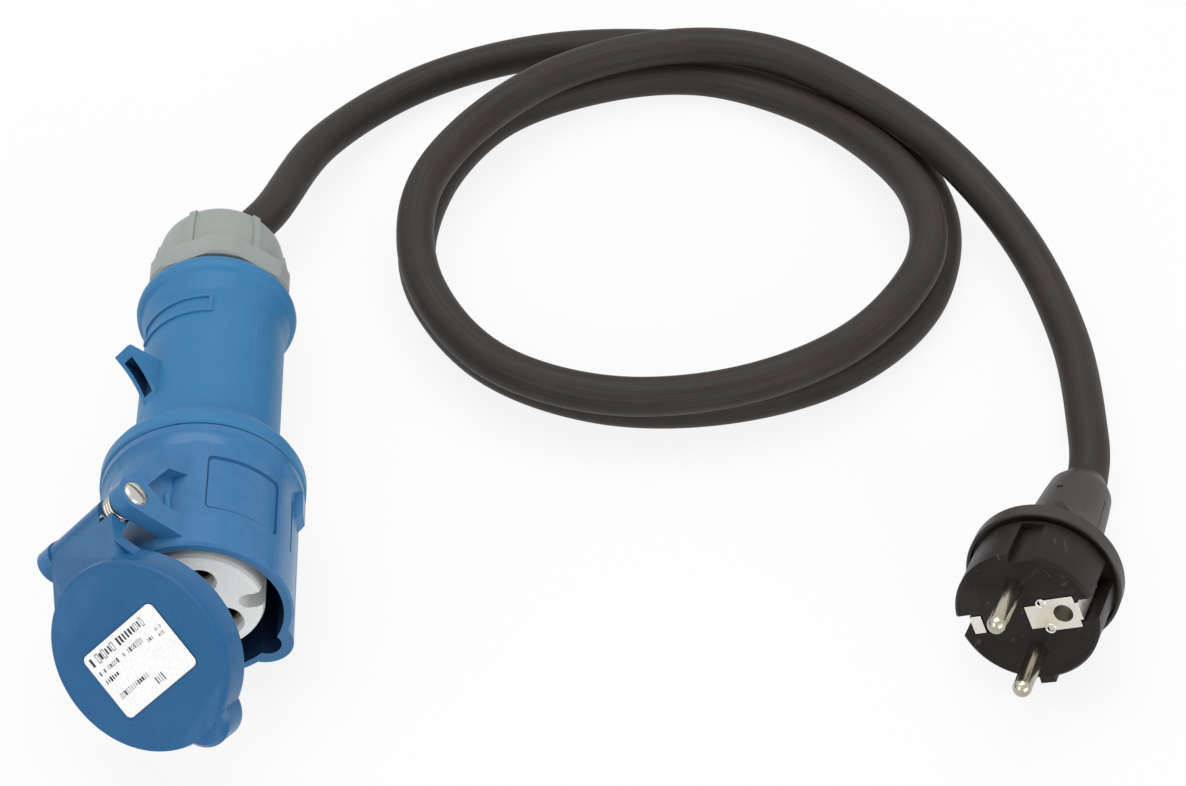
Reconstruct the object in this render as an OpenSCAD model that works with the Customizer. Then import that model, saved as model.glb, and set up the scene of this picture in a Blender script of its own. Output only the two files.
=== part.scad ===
// Power adapter cable: a round industrial coupler with a sprung lid, a rubber cable laid in
// two turns, and an earthed two-pin plug. Lengths are in millimetres and +Z is up.

/* [Coupler mouth] */
// Inside diameter of the mouth
mouth_d = 44.5; // [43:0.5:47]
// Wall of the front housing
front_wall = 2.4; // [2:0.1:3]
// Depth of the front housing, from the mouth to its joint with the handle
front_l = 41; // [39:0.5:46]
// Radius of the key groove in the mouth
key_r = 3.6; // [3.2:0.1:4]
// Wall around the key groove
key_wall = 2.9; // [2.4:0.1:3.4]

/* [Handle] */
// Diameter of the flange at the joint
flange_d = 53.2; // [52.4:0.2:58]
// Diameter of the grip tube
tube_d = 38; // [36.5:0.5:40]
// Wall of the grip tube
tube_wall = 2.5; // [2:0.1:3]
// Length of the handle, from the joint to the end of its collar
handle_l = 72.5; // [66:0.5:80]
// Diameter of the rear collar
collar_d = 44; // [42.5:0.5:46]

/* [Contacts] */
// Diameter of the contact insert
insert_d = 35; // [34:0.5:36]
// How far the insert's face lies behind the mouth
insert_back = 2; // [1:0.5:4]
// Diameter of the circle that the contacts stand on
contact_circle = 17.8; // [17:0.2:18.6]
// Bore of the live and neutral contacts
contact_bore = 5.1; // [5:0.05:5.2]
// Bore of the earth contact
earth_bore = 7.1; // [7:0.05:7.2]
// Wall of the contact sleeves
contact_wall = 0.8; // [0.6:0.1:1]

/* [Lid] */
// Diameter of the lid
lid_d = 49.6; // [49.4:0.2:52]
// Depth of the lid
lid_t = 8; // [7:0.5:9]
// Angle from shut at which the lid stands open
lid_open = 35; // [20:1:60]
// Height of the hinge pin over the barrel
hinge_rise = 6.8; // [6:0.2:8]
// How far the hinge pin lies behind the mouth
hinge_back = 8; // [7:0.5:10]
// Distance between the outer faces of the hinge lugs
hinge_span = 34.2; // [33:0.2:36]
// Thickness of a hinge lug
lug_t = 4.4; // [3.4:0.2:5]
// Diameter of the hinge pin
hinge_pin_d = 5; // [4.6:0.1:5.4]
// Diameter of the lid spring's wire
spring_wire = 1; // [0.8:0.1:1.1]

/* [Gland] */
// Width of the gland nut across its flats
nut_flats = 38.5; // [36.5:0.5:38.5]
// Length of the nut's six-sided foot
nut_foot = 7.5; // [6:0.5:9]
// Length of the nut behind its foot
nut_dome = 18; // [16:0.5:20]

/* [Cable] */
// Outside diameter of the cable
cable_d = 11; // [10:0.1:11.2]
// Diameter of a core in the cable
core_d = 3.4; // [3:0.1:3.6]

/* [Plug] */
// Diameter of the plug's front
face_d = 37; // [36:0.1:38]
// Diameter of the plug's collar
guard_d = 40.4; // [40.2:0.2:44]
// Distance from the face of the plug to the front of its collar
guard_back = 17.2; // [16.4:0.2:22]
// Diameter of a pin
pin_d = 4.8; // [4.7:0.05:4.85]
// Length of a pin outside the face
pin_l = 19; // [18:0.5:20]
// Distance between the pins
pin_pitch = 19; // [18.6:0.1:19.4]
// Bore of the earth socket
socket_bore = 5; // [4.9:0.05:5.2]
// Length of the grip behind the collar
grip_l = 42; // [40:1:50]

/* [Hidden] */
$fn = 96;

// Clearances
clear = 0.2;
run_clear = 0.05;
seat = 0.1;

// Front housing: z is 0 at the mouth and falls towards the gland
mouth_r = mouth_d / 2;
barrel_r = mouth_r + front_wall;
ring_r = barrel_r + 1.5;
ring_l = 3.5;
web_t = 3;
insert_flange_t = 3;
cavity_l = front_l - web_t - insert_flange_t;
insert_r = insert_d / 2;
insert_flange_r = insert_r + 3.5;
insert_wall = 2;
holder_wall = 1.5;
notch_angle = -42;
notch_r = 2.4;
notch_l = 22;
notch_at = insert_r - 4;
key_at = mouth_r - 0.85;
key_turn = 6;
nose_r = key_r + key_wall + 0.9;
nose_at = key_at + key_r + key_wall - nose_r;
gasket_nose_r = key_r + key_wall - 0.8;
lid_nose_r = nose_r + 0.6;
nose_drop = 0.7;
lid_edge = 1.2;
panel_from = -15.5;
panel_to = 33;
panel_front = 12.6;
panel_l = 18.2;
groove_angle = -33;
panel_depth = 0.5;
panel_corner = 1.4;

// Handle
flange_r = flange_d / 2;
flange_l = 4;
cone_l = 10.4;
hinge_angle = 90;
hook_l = 10.8;
hook_h = 10.2;
hook_w = 5.8;
hook_wall = 1.3;
hook_sag = 0.07;
plate_from = 38.5;
plate_to = 112;
plate_front = 50.3;
plate_l = 6.7;
plate_h = 0.6;
plate_rim = 1;
plate_rim_turn = 3;
tube_r = tube_d / 2;
bore_r = tube_r - tube_wall;
collar_r = collar_d / 2;
collar_l = 11;
joint_z = -front_l;
hook_front = joint_z - 23.6;
rear_z = joint_z - handle_l;
rear_web_t = 3;
cable_r = cable_d / 2;
gland_r = cable_r + 5.5;
spigot_r = gland_r + 3;
spigot_l = 13;
seal_l = 12;
web_z = rear_z + 9.5;
sheath_end = web_z + rear_web_t + 2;
groove_r = (insert_flange_r + flange_r) / 2;
groove_w = 2;
nut_gap = 0.8;
slit_w = 1.2;
nut_turn = 21;
rib_turn = 51;
rib_w = 2.2;
rib_h = 0.6;
corner_cut = 1.5;
slit_l = 9;
nut_z = rear_z - nut_gap;
nut_end = nut_z - nut_foot - nut_dome;
nut_corner = nut_flats / 2 / cos(30);
dome_r = nut_flats / 2 - 1.05;

// Pose of the coupler: it lies on its flange and its collar, rolled about its own axis
roll = 47;
collar_land = 4;
lip_r = 3.2;
contact_run = handle_l - flange_l - collar_land;
pitch = asin((flange_r - collar_r) / contact_run);
flange_low_z = joint_z - flange_l;
mouth_h = flange_r * cos(pitch) - flange_low_z * sin(pitch);
mouth_at = [5.55, -50.88, mouth_h];

// Contacts
live_r = contact_bore / 2 + contact_wall;
earth_r = earth_bore / 2 + contact_wall;
contact_at = contact_circle / 2;
contact_front = insert_back + 4;
contact_rear = front_l + 12;
socket_l = 28;
wire_hole_l = 9;
insert_rear = front_l + 4;
live_angle = 30;
neutral_angle = 150;
earth_angle = 270;
screw_back = contact_rear - 4.5;
screw_r = 1.5;
screw_head_r = 2.4;
screw_head_t = 1.4;

// Lid, drawn shut and then turned open about the hinge pin
hinge_y = barrel_r + hinge_rise;
hinge_z = -hinge_back;
pin_r = hinge_pin_d / 2;
boss_r = pin_r + 2.3;
knuckle_r = pin_r + 1.8;
lug_in = hinge_span / 2 - lug_t;
recess_depth = lug_t - 1.6;
hinge_shift = 0.7;
spring_room = 5;
arm_web_t = 3.4;
web_out = barrel_r + 0.6;
knuckle_gap = 0.4;
lid_r = lid_d / 2;
lid_gap = 0.4;
lid_skirt = 1.5;
gasket_t = 2.8;
gasket_in = mouth_r - 0.8;
gasket_out = lid_r - lid_skirt - seat;
arm_half = lug_in - knuckle_gap;
spring_r = pin_r + spring_wire / 2 + 0.4;
pin_head_r = pin_r + 0.8;
pin_head_t = 1.2;

// Plug: z is 0 at the face and falls towards the cable
face_r = face_d / 2;
guard_r = guard_d / 2;
guard_t = 4.2;
guard_z = -guard_back;
shell_z = guard_z - guard_t;
grip_end = shell_z - grip_l;
front_end = shell_z + 1.6;
grip_r = 12.4;
waist_r = cable_r + 3.2;
shell_wall = 2;
pin_shank = 14;
shank_r = pin_d / 2 - 0.3;
strap_t = 0.8;
strap_w = 9;
strap_z = -0.6;
clip_w = 5;
clip_l = 15;
clip_notch = 4.8;
clip_lip = 2.2;
earth_x = 10;
guide_w = 6;
guide_depth = 2;
guide_shift = 4.2;
plug_screw_at = face_r - 3.6;
plug_screw_angle = 70;
plug_cavity_r = face_r - 6;
plug_sheath_end = grip_end + 23;
clamp_r = waist_r - 1.7;
screw_web = 3;

// Pose of the plug: it lies on its collar with its pins lifted a little
plug_turn = -25.2;
plug_tilt = 14;
plug_roll = 30;
plug_h = guard_r * cos(plug_tilt) - shell_z * sin(plug_tilt);
plug_at = [212.8, -58.9, plug_h];

// The cable's route: x, y and the layer it lies on (0 on the floor, 1 on top of another turn)
layer_gap = 0.4;
floor_gap = 0.1;
route = [
    [18, 105, 1.05], [33, 142, 0.5], [62, 173, 0.05],
    [98, 187, 0], [136, 188, 0], [170, 180, 0], [197, 158, 0], [211, 128, 0], [215, 98, 0],
    [204, 67, 0], [178, 44, 0], [143, 34, 0], [108, 37, 0], [78, 55, 0],
    [61, 89, 0], [66, 125, 0], [86, 155, 0],
    [117, 170, 0], [149, 172, 0.02], [178, 157, 0.15], [198, 131, 0.55], [208, 103, 0.92],
    [205, 75, 1], [183, 47, 1], [150, 31, 1], [113, 29, 1], [81, 44, 1],
    [63, 75, 1], [62, 110, 1], [77, 139, 1],
    [104, 163, 1], [137, 174, 1], [168, 170, 1.05], [194, 150, 1.1], [218, 121, 1.02],
    [236, 87, 0.62], [244, 50, 0.38], [243, 14, 0.38]
];

function layer_z(layer) = cable_r + floor_gap + layer * (cable_d + layer_gap);
function unit(v) = v / norm(v);

// A point given in the coupler's own axes, or in the plug's, moved to where it lies
function pitched(p, tilt) = [p.x, p.y * sin(tilt) - p.z * cos(tilt), p.y * cos(tilt) + p.z * sin(tilt)];
function rolled(p, a) = [p.x * cos(a) - p.y * sin(a), p.x * sin(a) + p.y * cos(a), p.z];
function from_coupler(p) = mouth_at + pitched(rolled(p, roll), pitch);
function from_plug(p) = plug_at + rolled(pitched(rolled(p, plug_roll), plug_tilt), plug_turn);

// A smooth curve through points, with a point added half-way between each two except at the straight ends
function between(a, b, c, d, t) =
    (2 * b + (c - a) * t + (2 * a - 5 * b + 4 * c - d) * t * t + (3 * b - a - 3 * c + d) * t * t * t) / 2;
function smooth(p, ends) = concat(
    [for (i = [0 : len(p) - 2])
        let (steps = i < ends || i > len(p) - 2 - ends ? 1 : 2)
        for (j = [0 : steps - 1])
        between(p[max(i - 1, 0)], p[i], p[i + 1], p[min(i + 2, len(p) - 1)], j / steps)],
    [p[len(p) - 1]]);
function heading(p, i) = unit(p[min(i + 1, len(p) - 1)] - p[max(i - 1, 0)]);

// A round rod swept along points
module rod(points, radius, sides, up = [0, 0, 1]) {
    last = len(points) - 1;
    rings = [for (i = [0 : last])
        let (ahead = heading(points, i), side = unit(cross(ahead, up)), over = cross(side, ahead))
        for (k = [0 : sides - 1]) let (turn = 360 * k / sides)
            points[i] + radius * (side * cos(turn) + over * sin(turn))];
    walls = [for (i = [0 : last - 1]) for (k = [0 : sides - 1])
        let (n = (k + 1) % sides)
        each [[i * sides + k, i * sides + n, (i + 1) * sides + n],
              [i * sides + k, (i + 1) * sides + n, (i + 1) * sides + k]]];
    start = [for (k = [0 : sides - 1]) sides - 1 - k];
    end = [for (k = [0 : sides - 1]) last * sides + k];
    polyhedron(points = rings, faces = concat(walls, [start, end]));
}

module place_coupler() {
    translate(mouth_at) rotate([90 - pitch, 0, 0]) rotate([0, 0, roll]) children();
}

module place_lid() {
    place_coupler() translate([0, hinge_y, hinge_z]) rotate([-lid_open, 0, 0])
        translate([0, -hinge_y, -hinge_z]) children();
}

module place_plug() {
    translate(plug_at) rotate([0, 0, plug_turn]) rotate([90 - plug_tilt, 0, 0])
        rotate([0, 0, plug_roll]) children();
}

// A plate drawn in the plane of the axis at an angle around it, with x outwards and y along the axis
module fin(angle, width) {
    rotate([0, 0, angle]) rotate([90, 0, 0]) linear_extrude(width, center = true) children();
}

// A plate across the hinge, drawn with x along the radius of the hinge and y along the axis
module lug_plate(from_x, width) {
    translate([from_x + hinge_shift, 0, 0]) rotate([90, 0, 90]) linear_extrude(width) children();
}

// A block cut from a ring, from one angle to another
module ring_part(r_in, r_out, z_low, z_high, from, to) {
    rotate([0, 0, from]) rotate_extrude(angle = to - from)
        translate([r_in, z_low]) square([r_out - r_in, z_high - z_low]);
}

module across_hinge(radius, from_x, to_x) {
    translate([from_x + hinge_shift, hinge_y, hinge_z]) rotate([0, 90, 0])
        cylinder(r = radius, h = to_x - from_x);
}

// The outline of a hinge lug, a boss on two legs that spread along the barrel
module lug_outline() {
    leg_front = hinge_z + boss_r + 0.8;
    leg_back = hinge_z - 20.4;
    foot = barrel_r * 0.62;
    translate([hinge_y, hinge_z]) circle(boss_r);
    polygon([
        [foot, leg_front], [hinge_y, hinge_z + boss_r], [hinge_y + boss_r * 0.8, hinge_z - boss_r * 0.6],
        [hinge_y - 7.9, leg_back + 2.4], [foot, leg_back]
    ]);
}

module lug_recess() {
    foot = barrel_r * 0.6;
    polygon([
        [hinge_y - 3.2, hinge_z - boss_r - 0.2], [hinge_y - 8.6, hinge_z - 14.2], [foot, hinge_z - 16.2],
        [foot, hinge_z - 1.6], [hinge_y - 8.4, hinge_z - 1.4]
    ]);
}

module hinge_lugs() {
    difference() {
        for (x = [-hinge_span / 2, lug_in]) lug_plate(x, lug_t) lug_outline();
        for (x = [-hinge_span / 2 - 1, hinge_span / 2 - recess_depth])
            lug_plate(x, recess_depth + 1) lug_recess();
    }
}

module front_housing() {
    color([0.13, 0.39, 0.66]) place_coupler() difference() {
        union() {
            rotate_extrude() polygon([
                [0, 0], [barrel_r - 0.6, 0], [barrel_r, -0.8], [barrel_r, joint_z + ring_l + 2.4],
                [ring_r - 0.6, joint_z + ring_l], [ring_r, joint_z + ring_l - 0.8], [ring_r, joint_z + 0.5],
                [ring_r - 0.5, joint_z], [0, joint_z]
            ]);
            rotate([0, 0, key_turn]) translate([0, -nose_at, joint_z + ring_l])
                cylinder(r = nose_r, h = front_l - ring_l);
            hinge_lugs();
            fin(-45, 5) polygon([
                [barrel_r - 1, joint_z + ring_l], [flange_r - 0.2, joint_z + ring_l],
                [flange_r - 0.2, joint_z + 11], [barrel_r - 1, joint_z + 15]
            ]);
        }
        translate([0, 0, -cavity_l]) cylinder(r = mouth_r, h = cavity_l + 20);
        rotate([0, 0, key_turn]) translate([0, -key_at, -cavity_l]) cylinder(r = key_r, h = cavity_l + 20);
        translate([0, 0, joint_z - 1]) cylinder(r = insert_r + seat, h = front_l);
        translate([0, 0, joint_z - 1]) cylinder(r = insert_flange_r + seat, h = insert_flange_t + 1);
        panel();
        ring_part(barrel_r - panel_depth, barrel_r + 3, -panel_front - panel_l - 1, -panel_front - 1,
            groove_angle - 0.9, groove_angle + 0.9);
        across_hinge(pin_r + run_clear, -hinge_span, hinge_span);
        across_hinge(pin_head_r + seat, hinge_span / 2 - pin_head_t, hinge_span);
    }
}

// The shallow panel on the barrel, with round corners
module panel() {
    half_turn = (panel_to - panel_from) / 2;
    half_w = barrel_r * sin(half_turn) - panel_corner;
    half_l = panel_l / 2 - panel_corner;
    intersection() {
        ring_part(barrel_r - panel_depth, barrel_r + 3, -panel_front - panel_l - 2, -panel_front + 2,
            panel_from - 10, panel_to + 10);
        rotate([0, 0, panel_from + half_turn]) translate([0, 0, -panel_front - panel_l / 2])
            rotate([0, 90, 0]) linear_extrude(barrel_r + 5) hull()
                for (x = [-1, 1]) for (y = [-1, 1]) translate([x * half_l, y * half_w]) circle(panel_corner);
    }
}

// The thumb hook behind the hinge: its front face is hollowed in an arc and has a deep pocket
module hook() {
    fin(hinge_angle, hook_w) polygon(concat(
        [[tube_r - 1, hook_front], [tube_r, hook_front]],
        [for (t = [1 / 6 : 1 / 6 : 1]) let (sag = hook_sag * sin(180 * t))
            [tube_r + hook_h * (t - sag), hook_front - hook_l * (t + sag)]],
        [[tube_r + hook_h - 0.8, hook_front - hook_l - 1], [tube_r - 1, hook_front - hook_l - 1.6]]));
}

module hook_pocket() {
    fin(hinge_angle, hook_w - 2 * hook_wall) polygon([
        [tube_r + 0.6, hook_front + 1], [tube_r + hook_h, hook_front - hook_l * 0.6],
        [tube_r + hook_h * 0.76, hook_front - hook_l * 0.86],
        [tube_r + hook_h * 0.6, hook_front - hook_l * 0.92], [tube_r + 0.6, hook_front - hook_l * 0.9]
    ]);
}

module handle() {
    rear = rear_z;
    plate_z = joint_z - plate_front;
    color([0.15, 0.42, 0.68]) place_coupler() difference() {
        union() {
            rotate_extrude() polygon(concat(
                [[0, joint_z], [flange_r - 0.5, joint_z], [flange_r, joint_z - 0.5],
                [flange_r, joint_z - flange_l], [flange_r - 1, joint_z - flange_l - 2],
                [tube_r + 0.6, joint_z - flange_l - cone_l + 0.6], [tube_r, joint_z - flange_l - cone_l],
                [tube_r, rear + collar_l + 2], [tube_r + 0.5, rear + collar_l + 0.6]],
                [for (a = [60 : -20 : -60])
                    [collar_r - lip_r + lip_r * cos(a), rear + collar_land + lip_r * sin(a)]],
                [[collar_r - 2.4, rear], [spigot_r, rear], [spigot_r, rear - spigot_l],
                [0, rear - spigot_l]]));
            hook();
            difference() {
                ring_part(tube_r - 0.5, tube_r + plate_h, plate_z - plate_l, plate_z, plate_from, plate_to);
                ring_part(tube_r, tube_r + 2, plate_z - plate_l + plate_rim, plate_z - plate_rim,
                    plate_from + plate_rim_turn, plate_to - plate_rim_turn);
            }
        }
        translate([0, 0, joint_z - insert_rear + front_l - 1]) cylinder(r = insert_r + clear, h = 20);
        translate([0, 0, web_z + rear_web_t]) cylinder(r = bore_r, h = joint_z - web_z);
        translate([0, 0, rear - spigot_l - 1]) cylinder(r = cable_r + clear, h = handle_l);
        translate([0, 0, rear - spigot_l - 1]) cylinder(r = gland_r, h = web_z - rear + spigot_l + 1);
        rotate_extrude() translate([groove_r - groove_w / 2, joint_z - groove_w])
            square([groove_w, groove_w + 1]);
        hook_pocket();
    }
}

module housing_seal() {
    color([0.12, 0.12, 0.13]) place_coupler() rotate_extrude()
        translate([groove_r, joint_z - groove_w / 2]) circle(groove_w / 2 - seat);
}

// Where a contact stands, seen from the mouth
module at_contact(angle) {
    rotate([0, 0, angle]) translate([contact_at, 0, 0]) children();
}

module contact_hole(bore) {
    entry_r = bore / 2 + 1.1;
    translate([0, 0, -contact_front - 1]) cylinder(r = entry_r, h = contact_front);
    translate([0, 0, -insert_back - 1.2]) cylinder(r1 = entry_r, r2 = entry_r + 0.9, h = 1.4);
}

// The groove in the insert's side, from its face; a wider copy of it walls the groove off inside
module insert_notch(width_r, depth, top) {
    rotate([0, 0, notch_angle]) translate([notch_at, 0, -insert_back - depth]) {
        cylinder(r = width_r, h = depth + top);
        translate([0, -width_r, 0]) cube([10, 2 * width_r, depth + top]);
    }
}

module contact_insert() {
    color([0.86, 0.87, 0.86]) place_coupler() difference() {
        rotate_extrude() polygon([
            [0, -insert_back], [insert_r - 2, -insert_back], [insert_r - 0.6, -insert_back - 0.6],
            [insert_r, -insert_back - 2], [insert_r, joint_z + insert_flange_t],
            [insert_flange_r, joint_z + insert_flange_t], [insert_flange_r, joint_z],
            [insert_r, joint_z], [insert_r, -insert_rear], [0, -insert_rear]
        ]);
        difference() {
            translate([0, 0, -insert_rear - 1])
                cylinder(r = insert_r - insert_wall, h = insert_rear + 1 - contact_front);
            insert_notch(notch_r + holder_wall, notch_l + holder_wall, 1);
        }
        at_contact(live_angle) contact_hole(contact_bore);
        at_contact(neutral_angle) contact_hole(contact_bore);
        at_contact(earth_angle) contact_hole(earth_bore);
        insert_notch(notch_r, notch_l, 6);
    }
}

// The tubes behind the insert's face that the contacts stand in
module contact_holder(angle, sleeve_r) {
    at_contact(angle) translate([0, 0, -insert_rear]) difference() {
        cylinder(r = sleeve_r + holder_wall, h = insert_rear - contact_front - seat);
        translate([0, 0, -1]) cylinder(r = sleeve_r + seat, h = insert_rear);
    }
}

module contact_holders() {
    color([0.86, 0.87, 0.86]) place_coupler() {
        contact_holder(live_angle, live_r);
        contact_holder(neutral_angle, live_r);
        contact_holder(earth_angle, earth_r);
    }
}

module contact_sleeve(angle, bore, sleeve_r) {
    color([0.80, 0.62, 0.30]) place_coupler() at_contact(angle) difference() {
        translate([0, 0, -contact_rear]) cylinder(r = sleeve_r, h = contact_rear - contact_front);
        translate([0, 0, -contact_front - socket_l]) cylinder(d = bore, h = socket_l + 1);
        translate([0, 0, -contact_rear - 1]) cylinder(d = core_d + 2 * clear, h = wire_hole_l + 1);
        translate([0, 0, -screw_back]) rotate([0, 90, 0]) cylinder(r = screw_r + seat, h = sleeve_r + 1);
    }
}

module live_contact() {
    contact_sleeve(live_angle, contact_bore, live_r);
}

module neutral_contact() {
    contact_sleeve(neutral_angle, contact_bore, live_r);
}

module earth_contact() {
    contact_sleeve(earth_angle, earth_bore, earth_r);
}

module terminal_screw(angle, sleeve_r) {
    tip = core_d / 2 + clear;
    at_contact(angle) translate([0, 0, -screw_back]) rotate([0, 90, 0]) {
        translate([0, 0, tip]) cylinder(r = screw_r, h = sleeve_r - tip + seat);
        difference() {
            translate([0, 0, sleeve_r + seat]) cylinder(r = screw_head_r, h = screw_head_t);
            translate([-0.4, -4, sleeve_r + screw_head_t - 0.6]) cube([0.8, 8, 2]);
        }
    }
}

module terminal_screws() {
    color([0.72, 0.72, 0.70]) place_coupler() {
        terminal_screw(live_angle, live_r);
        terminal_screw(neutral_angle, live_r);
        terminal_screw(earth_angle, earth_r);
    }
}

module lid() {
    front = lid_gap + lid_t;
    floor_z = lid_gap + gasket_t + seat;
    arm_x = -arm_half;
    color([0.12, 0.37, 0.62]) place_lid() difference() {
        union() {
            rotate_extrude() polygon([
                [0, lid_gap], [lid_r - 0.4, lid_gap], [lid_r, lid_gap + 0.4], [lid_r, front - lid_edge],
                [lid_r - lid_edge * 0.3, front - lid_edge * 0.3], [lid_r - lid_edge, front], [0, front]
            ]);
            rotate([0, 0, key_turn]) translate([0, -nose_at, 0]) rotate_extrude() polygon([
                [0, lid_gap], [lid_nose_r, lid_gap], [lid_nose_r, front - nose_drop - lid_edge],
                [lid_nose_r - lid_edge, front - nose_drop], [0, front - nose_drop]
            ]);
            across_hinge(knuckle_r, -arm_half, arm_half);
            lug_plate(arm_x, 2 * arm_half) polygon([
                [lid_r - 8, front - lid_edge], [lid_r - 2.8, front - lid_edge],
                [hinge_y + knuckle_r * 0.9, hinge_z + knuckle_r * 0.44],
                [hinge_y - knuckle_r * 0.9, hinge_z + knuckle_r * 0.44], [barrel_r + 0.9, lid_gap],
                [lid_r - 8, lid_gap]
            ]);
            translate([0, 0, lid_gap]) linear_extrude(arm_web_t) polygon([
                [hinge_shift - arm_half, web_out], [-lid_r * 0.83, lid_r * 0.55], [0, lid_r * 0.4],
                [lid_r * 0.62, lid_r * 0.74], [hinge_shift + arm_half, web_out]
            ]);
        }
        translate([0, 0, -20]) cylinder(r = lid_r - lid_skirt, h = 20 + floor_z);
        translate([0, 0, -20]) cylinder(r = gasket_in - 0.8, h = 20 + front - 2.4);
        rotate([0, 0, key_turn]) translate([0, -key_at, -20])
            cylinder(r = gasket_nose_r + 0.4, h = 20 + floor_z);
        across_hinge(pin_r + run_clear, -hinge_span, hinge_span);
        across_hinge(knuckle_r + 1.5, arm_half - spring_room, arm_half + 1);
    }
}

module lid_gasket() {
    color([0.16, 0.16, 0.17]) place_lid() difference() {
        union() {
            translate([0, 0, lid_gap]) cylinder(r = gasket_out, h = gasket_t);
            rotate([0, 0, key_turn]) translate([0, -key_at, lid_gap])
                cylinder(r = gasket_nose_r, h = gasket_t);
        }
        translate([0, 0, -5]) cylinder(r = gasket_in, h = 20);
        rotate([0, 0, key_turn]) translate([0, -key_at, -5]) cylinder(r = key_r - 0.8, h = 20);
    }
}

module lid_label() {
    label_w = 27;
    label_h = 18.6;
    label_y = -0.9;
    corner = 1.6;
    front = lid_gap + lid_t;
    color([0.90, 0.91, 0.91]) place_lid() translate([0, label_y, front]) linear_extrude(0.3) union() {
        square([label_w - 2 * corner, label_h], center = true);
        square([label_w, label_h - 2 * corner], center = true);
        for (x = [-1, 1]) for (y = [-1, 1])
            translate([x * (label_w / 2 - corner), y * (label_h / 2 - corner)]) circle(corner);
    }
}

module hinge_pin() {
    color([0.74, 0.74, 0.72]) place_coupler() union() {
        across_hinge(pin_r, -hinge_span / 2, hinge_span / 2 - pin_head_t);
        across_hinge(pin_head_r, hinge_span / 2 - pin_head_t, hinge_span / 2 - 0.1);
    }
}

// A torsion spring around the hinge pin, with one leg towards the lid and one towards the barrel
module lid_spring() {
    turns = 3.5;
    steps = 12;
    length = spring_room - spring_wire - 0.8;
    first = hinge_shift + arm_half - spring_room + spring_wire / 2 + 0.4;
    count = turns * steps;
    leg = 3.6;
    coil = [for (i = [0 : count]) [first + length * i / count,
        hinge_y + spring_r * cos(90 + 360 * i / steps), hinge_z + spring_r * sin(90 + 360 * i / steps)]];
    start = coil[0] + [0, leg, 0];
    end = coil[count] + [0, leg, 0];
    color([0.70, 0.69, 0.66]) place_coupler()
        rod(concat([start], coil, [end]), spring_wire / 2, 8, [1, 0, 0]);
}

module gland_nut() {
    foot_back = nut_z - nut_foot;
    inside = rear_z - spigot_l - 0.6;
    color([0.42, 0.44, 0.46]) place_coupler() difference() {
        union() {
            intersection() {
                rotate([0, 0, nut_turn - roll]) translate([0, 0, foot_back])
                    cylinder(r = nut_corner, h = nut_foot, $fn = 6);
                rotate_extrude() polygon([
                    [0, nut_z], [nut_corner - corner_cut - 0.8, nut_z], [nut_corner - corner_cut, nut_z - 0.8],
                    [nut_corner - corner_cut, foot_back - 1], [0, foot_back - 1]
                ]);
            }
            rotate_extrude() polygon([
                [0, foot_back + 1], [dome_r, foot_back + 1], [dome_r, foot_back - 6],
                [dome_r - 0.3, foot_back - 11], [dome_r - 1.1, nut_end + 3.4],
                [dome_r - 2.4, nut_end + 1.2], [dome_r - 4.4, nut_end], [0, nut_end]
            ]);
            for (i = [0 : 5]) fin(i * 60 + rib_turn - roll, rib_w) polygon([
                [dome_r - 4, foot_back + 0.4], [dome_r + rib_h, foot_back + 0.4],
                [dome_r + rib_h, foot_back - 7], [dome_r - 0.3 + rib_h, foot_back - 11],
                [dome_r - 1 + rib_h, nut_end + 3], [dome_r - 5, nut_end + 2]
            ]);
        }
        translate([0, 0, inside]) cylinder(r = spigot_r + clear, h = 2 * spigot_l);
        translate([0, 0, nut_end - 1]) cylinder(r = cable_r + 0.9, h = nut_foot + nut_dome);
        translate([0, 0, inside - 4]) cylinder(r1 = gland_r - 2.4, r2 = gland_r + 0.4, h = 4.01);
        rotate_extrude() polygon([
            [0, nut_end + 2], [cable_r + 0.8, nut_end + 2], [cable_r + 2.6, nut_end - 0.1], [0, nut_end - 0.1]
        ]);
    }
}

module gland_clamp() {
    front = web_z - seal_l;
    back = rear_z - spigot_l - 4;
    color([0.80, 0.80, 0.78]) place_coupler() difference() {
        rotate_extrude() polygon([
            [cable_r + clear, front], [gland_r - seat, front], [gland_r - seat, rear_z - spigot_l - 0.8],
            [gland_r - 2.8, back], [cable_r + clear, back]
        ]);
        for (i = [0 : 5]) rotate([0, 0, i * 60]) translate([0, -slit_w / 2, back - 1])
            cube([gland_r + 1, slit_w, slit_l]);
    }
}

module gland_seal() {
    color([0.14, 0.14, 0.15]) place_coupler() rotate_extrude()
        translate([cable_r + seat, web_z - seal_l]) square([gland_r - cable_r - 2 * seat, seal_l]);
}

// A core from the end of the cable's sheath to its contact
module coupler_core(angle) {
    lay_at = core_d * 0.58;
    near = sheath_end + seat;
    reach = near + 3;
    far = -contact_rear;
    path = [for (i = [0 : 8])
        let (t = i / 8, ease = t * t * (3 - 2 * t), r = lay_at + (contact_at - lay_at) * ease)
        [r * cos(angle), r * sin(angle), reach + (far - 2 - reach) * t]];
    tail = [contact_at * cos(angle), contact_at * sin(angle), far + wire_hole_l - 1];
    rod(concat([[lay_at * cos(angle), lay_at * sin(angle), near]], path, [tail]), core_d / 2, 10, [1, 0.01, 0]);
}

module live_core() {
    color([0.42, 0.24, 0.13]) place_coupler() coupler_core(live_angle);
}

module neutral_core() {
    color([0.12, 0.35, 0.66]) place_coupler() coupler_core(neutral_angle);
}

module earth_core() {
    color([0.42, 0.62, 0.16]) place_coupler() coupler_core(earth_angle);
}

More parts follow.
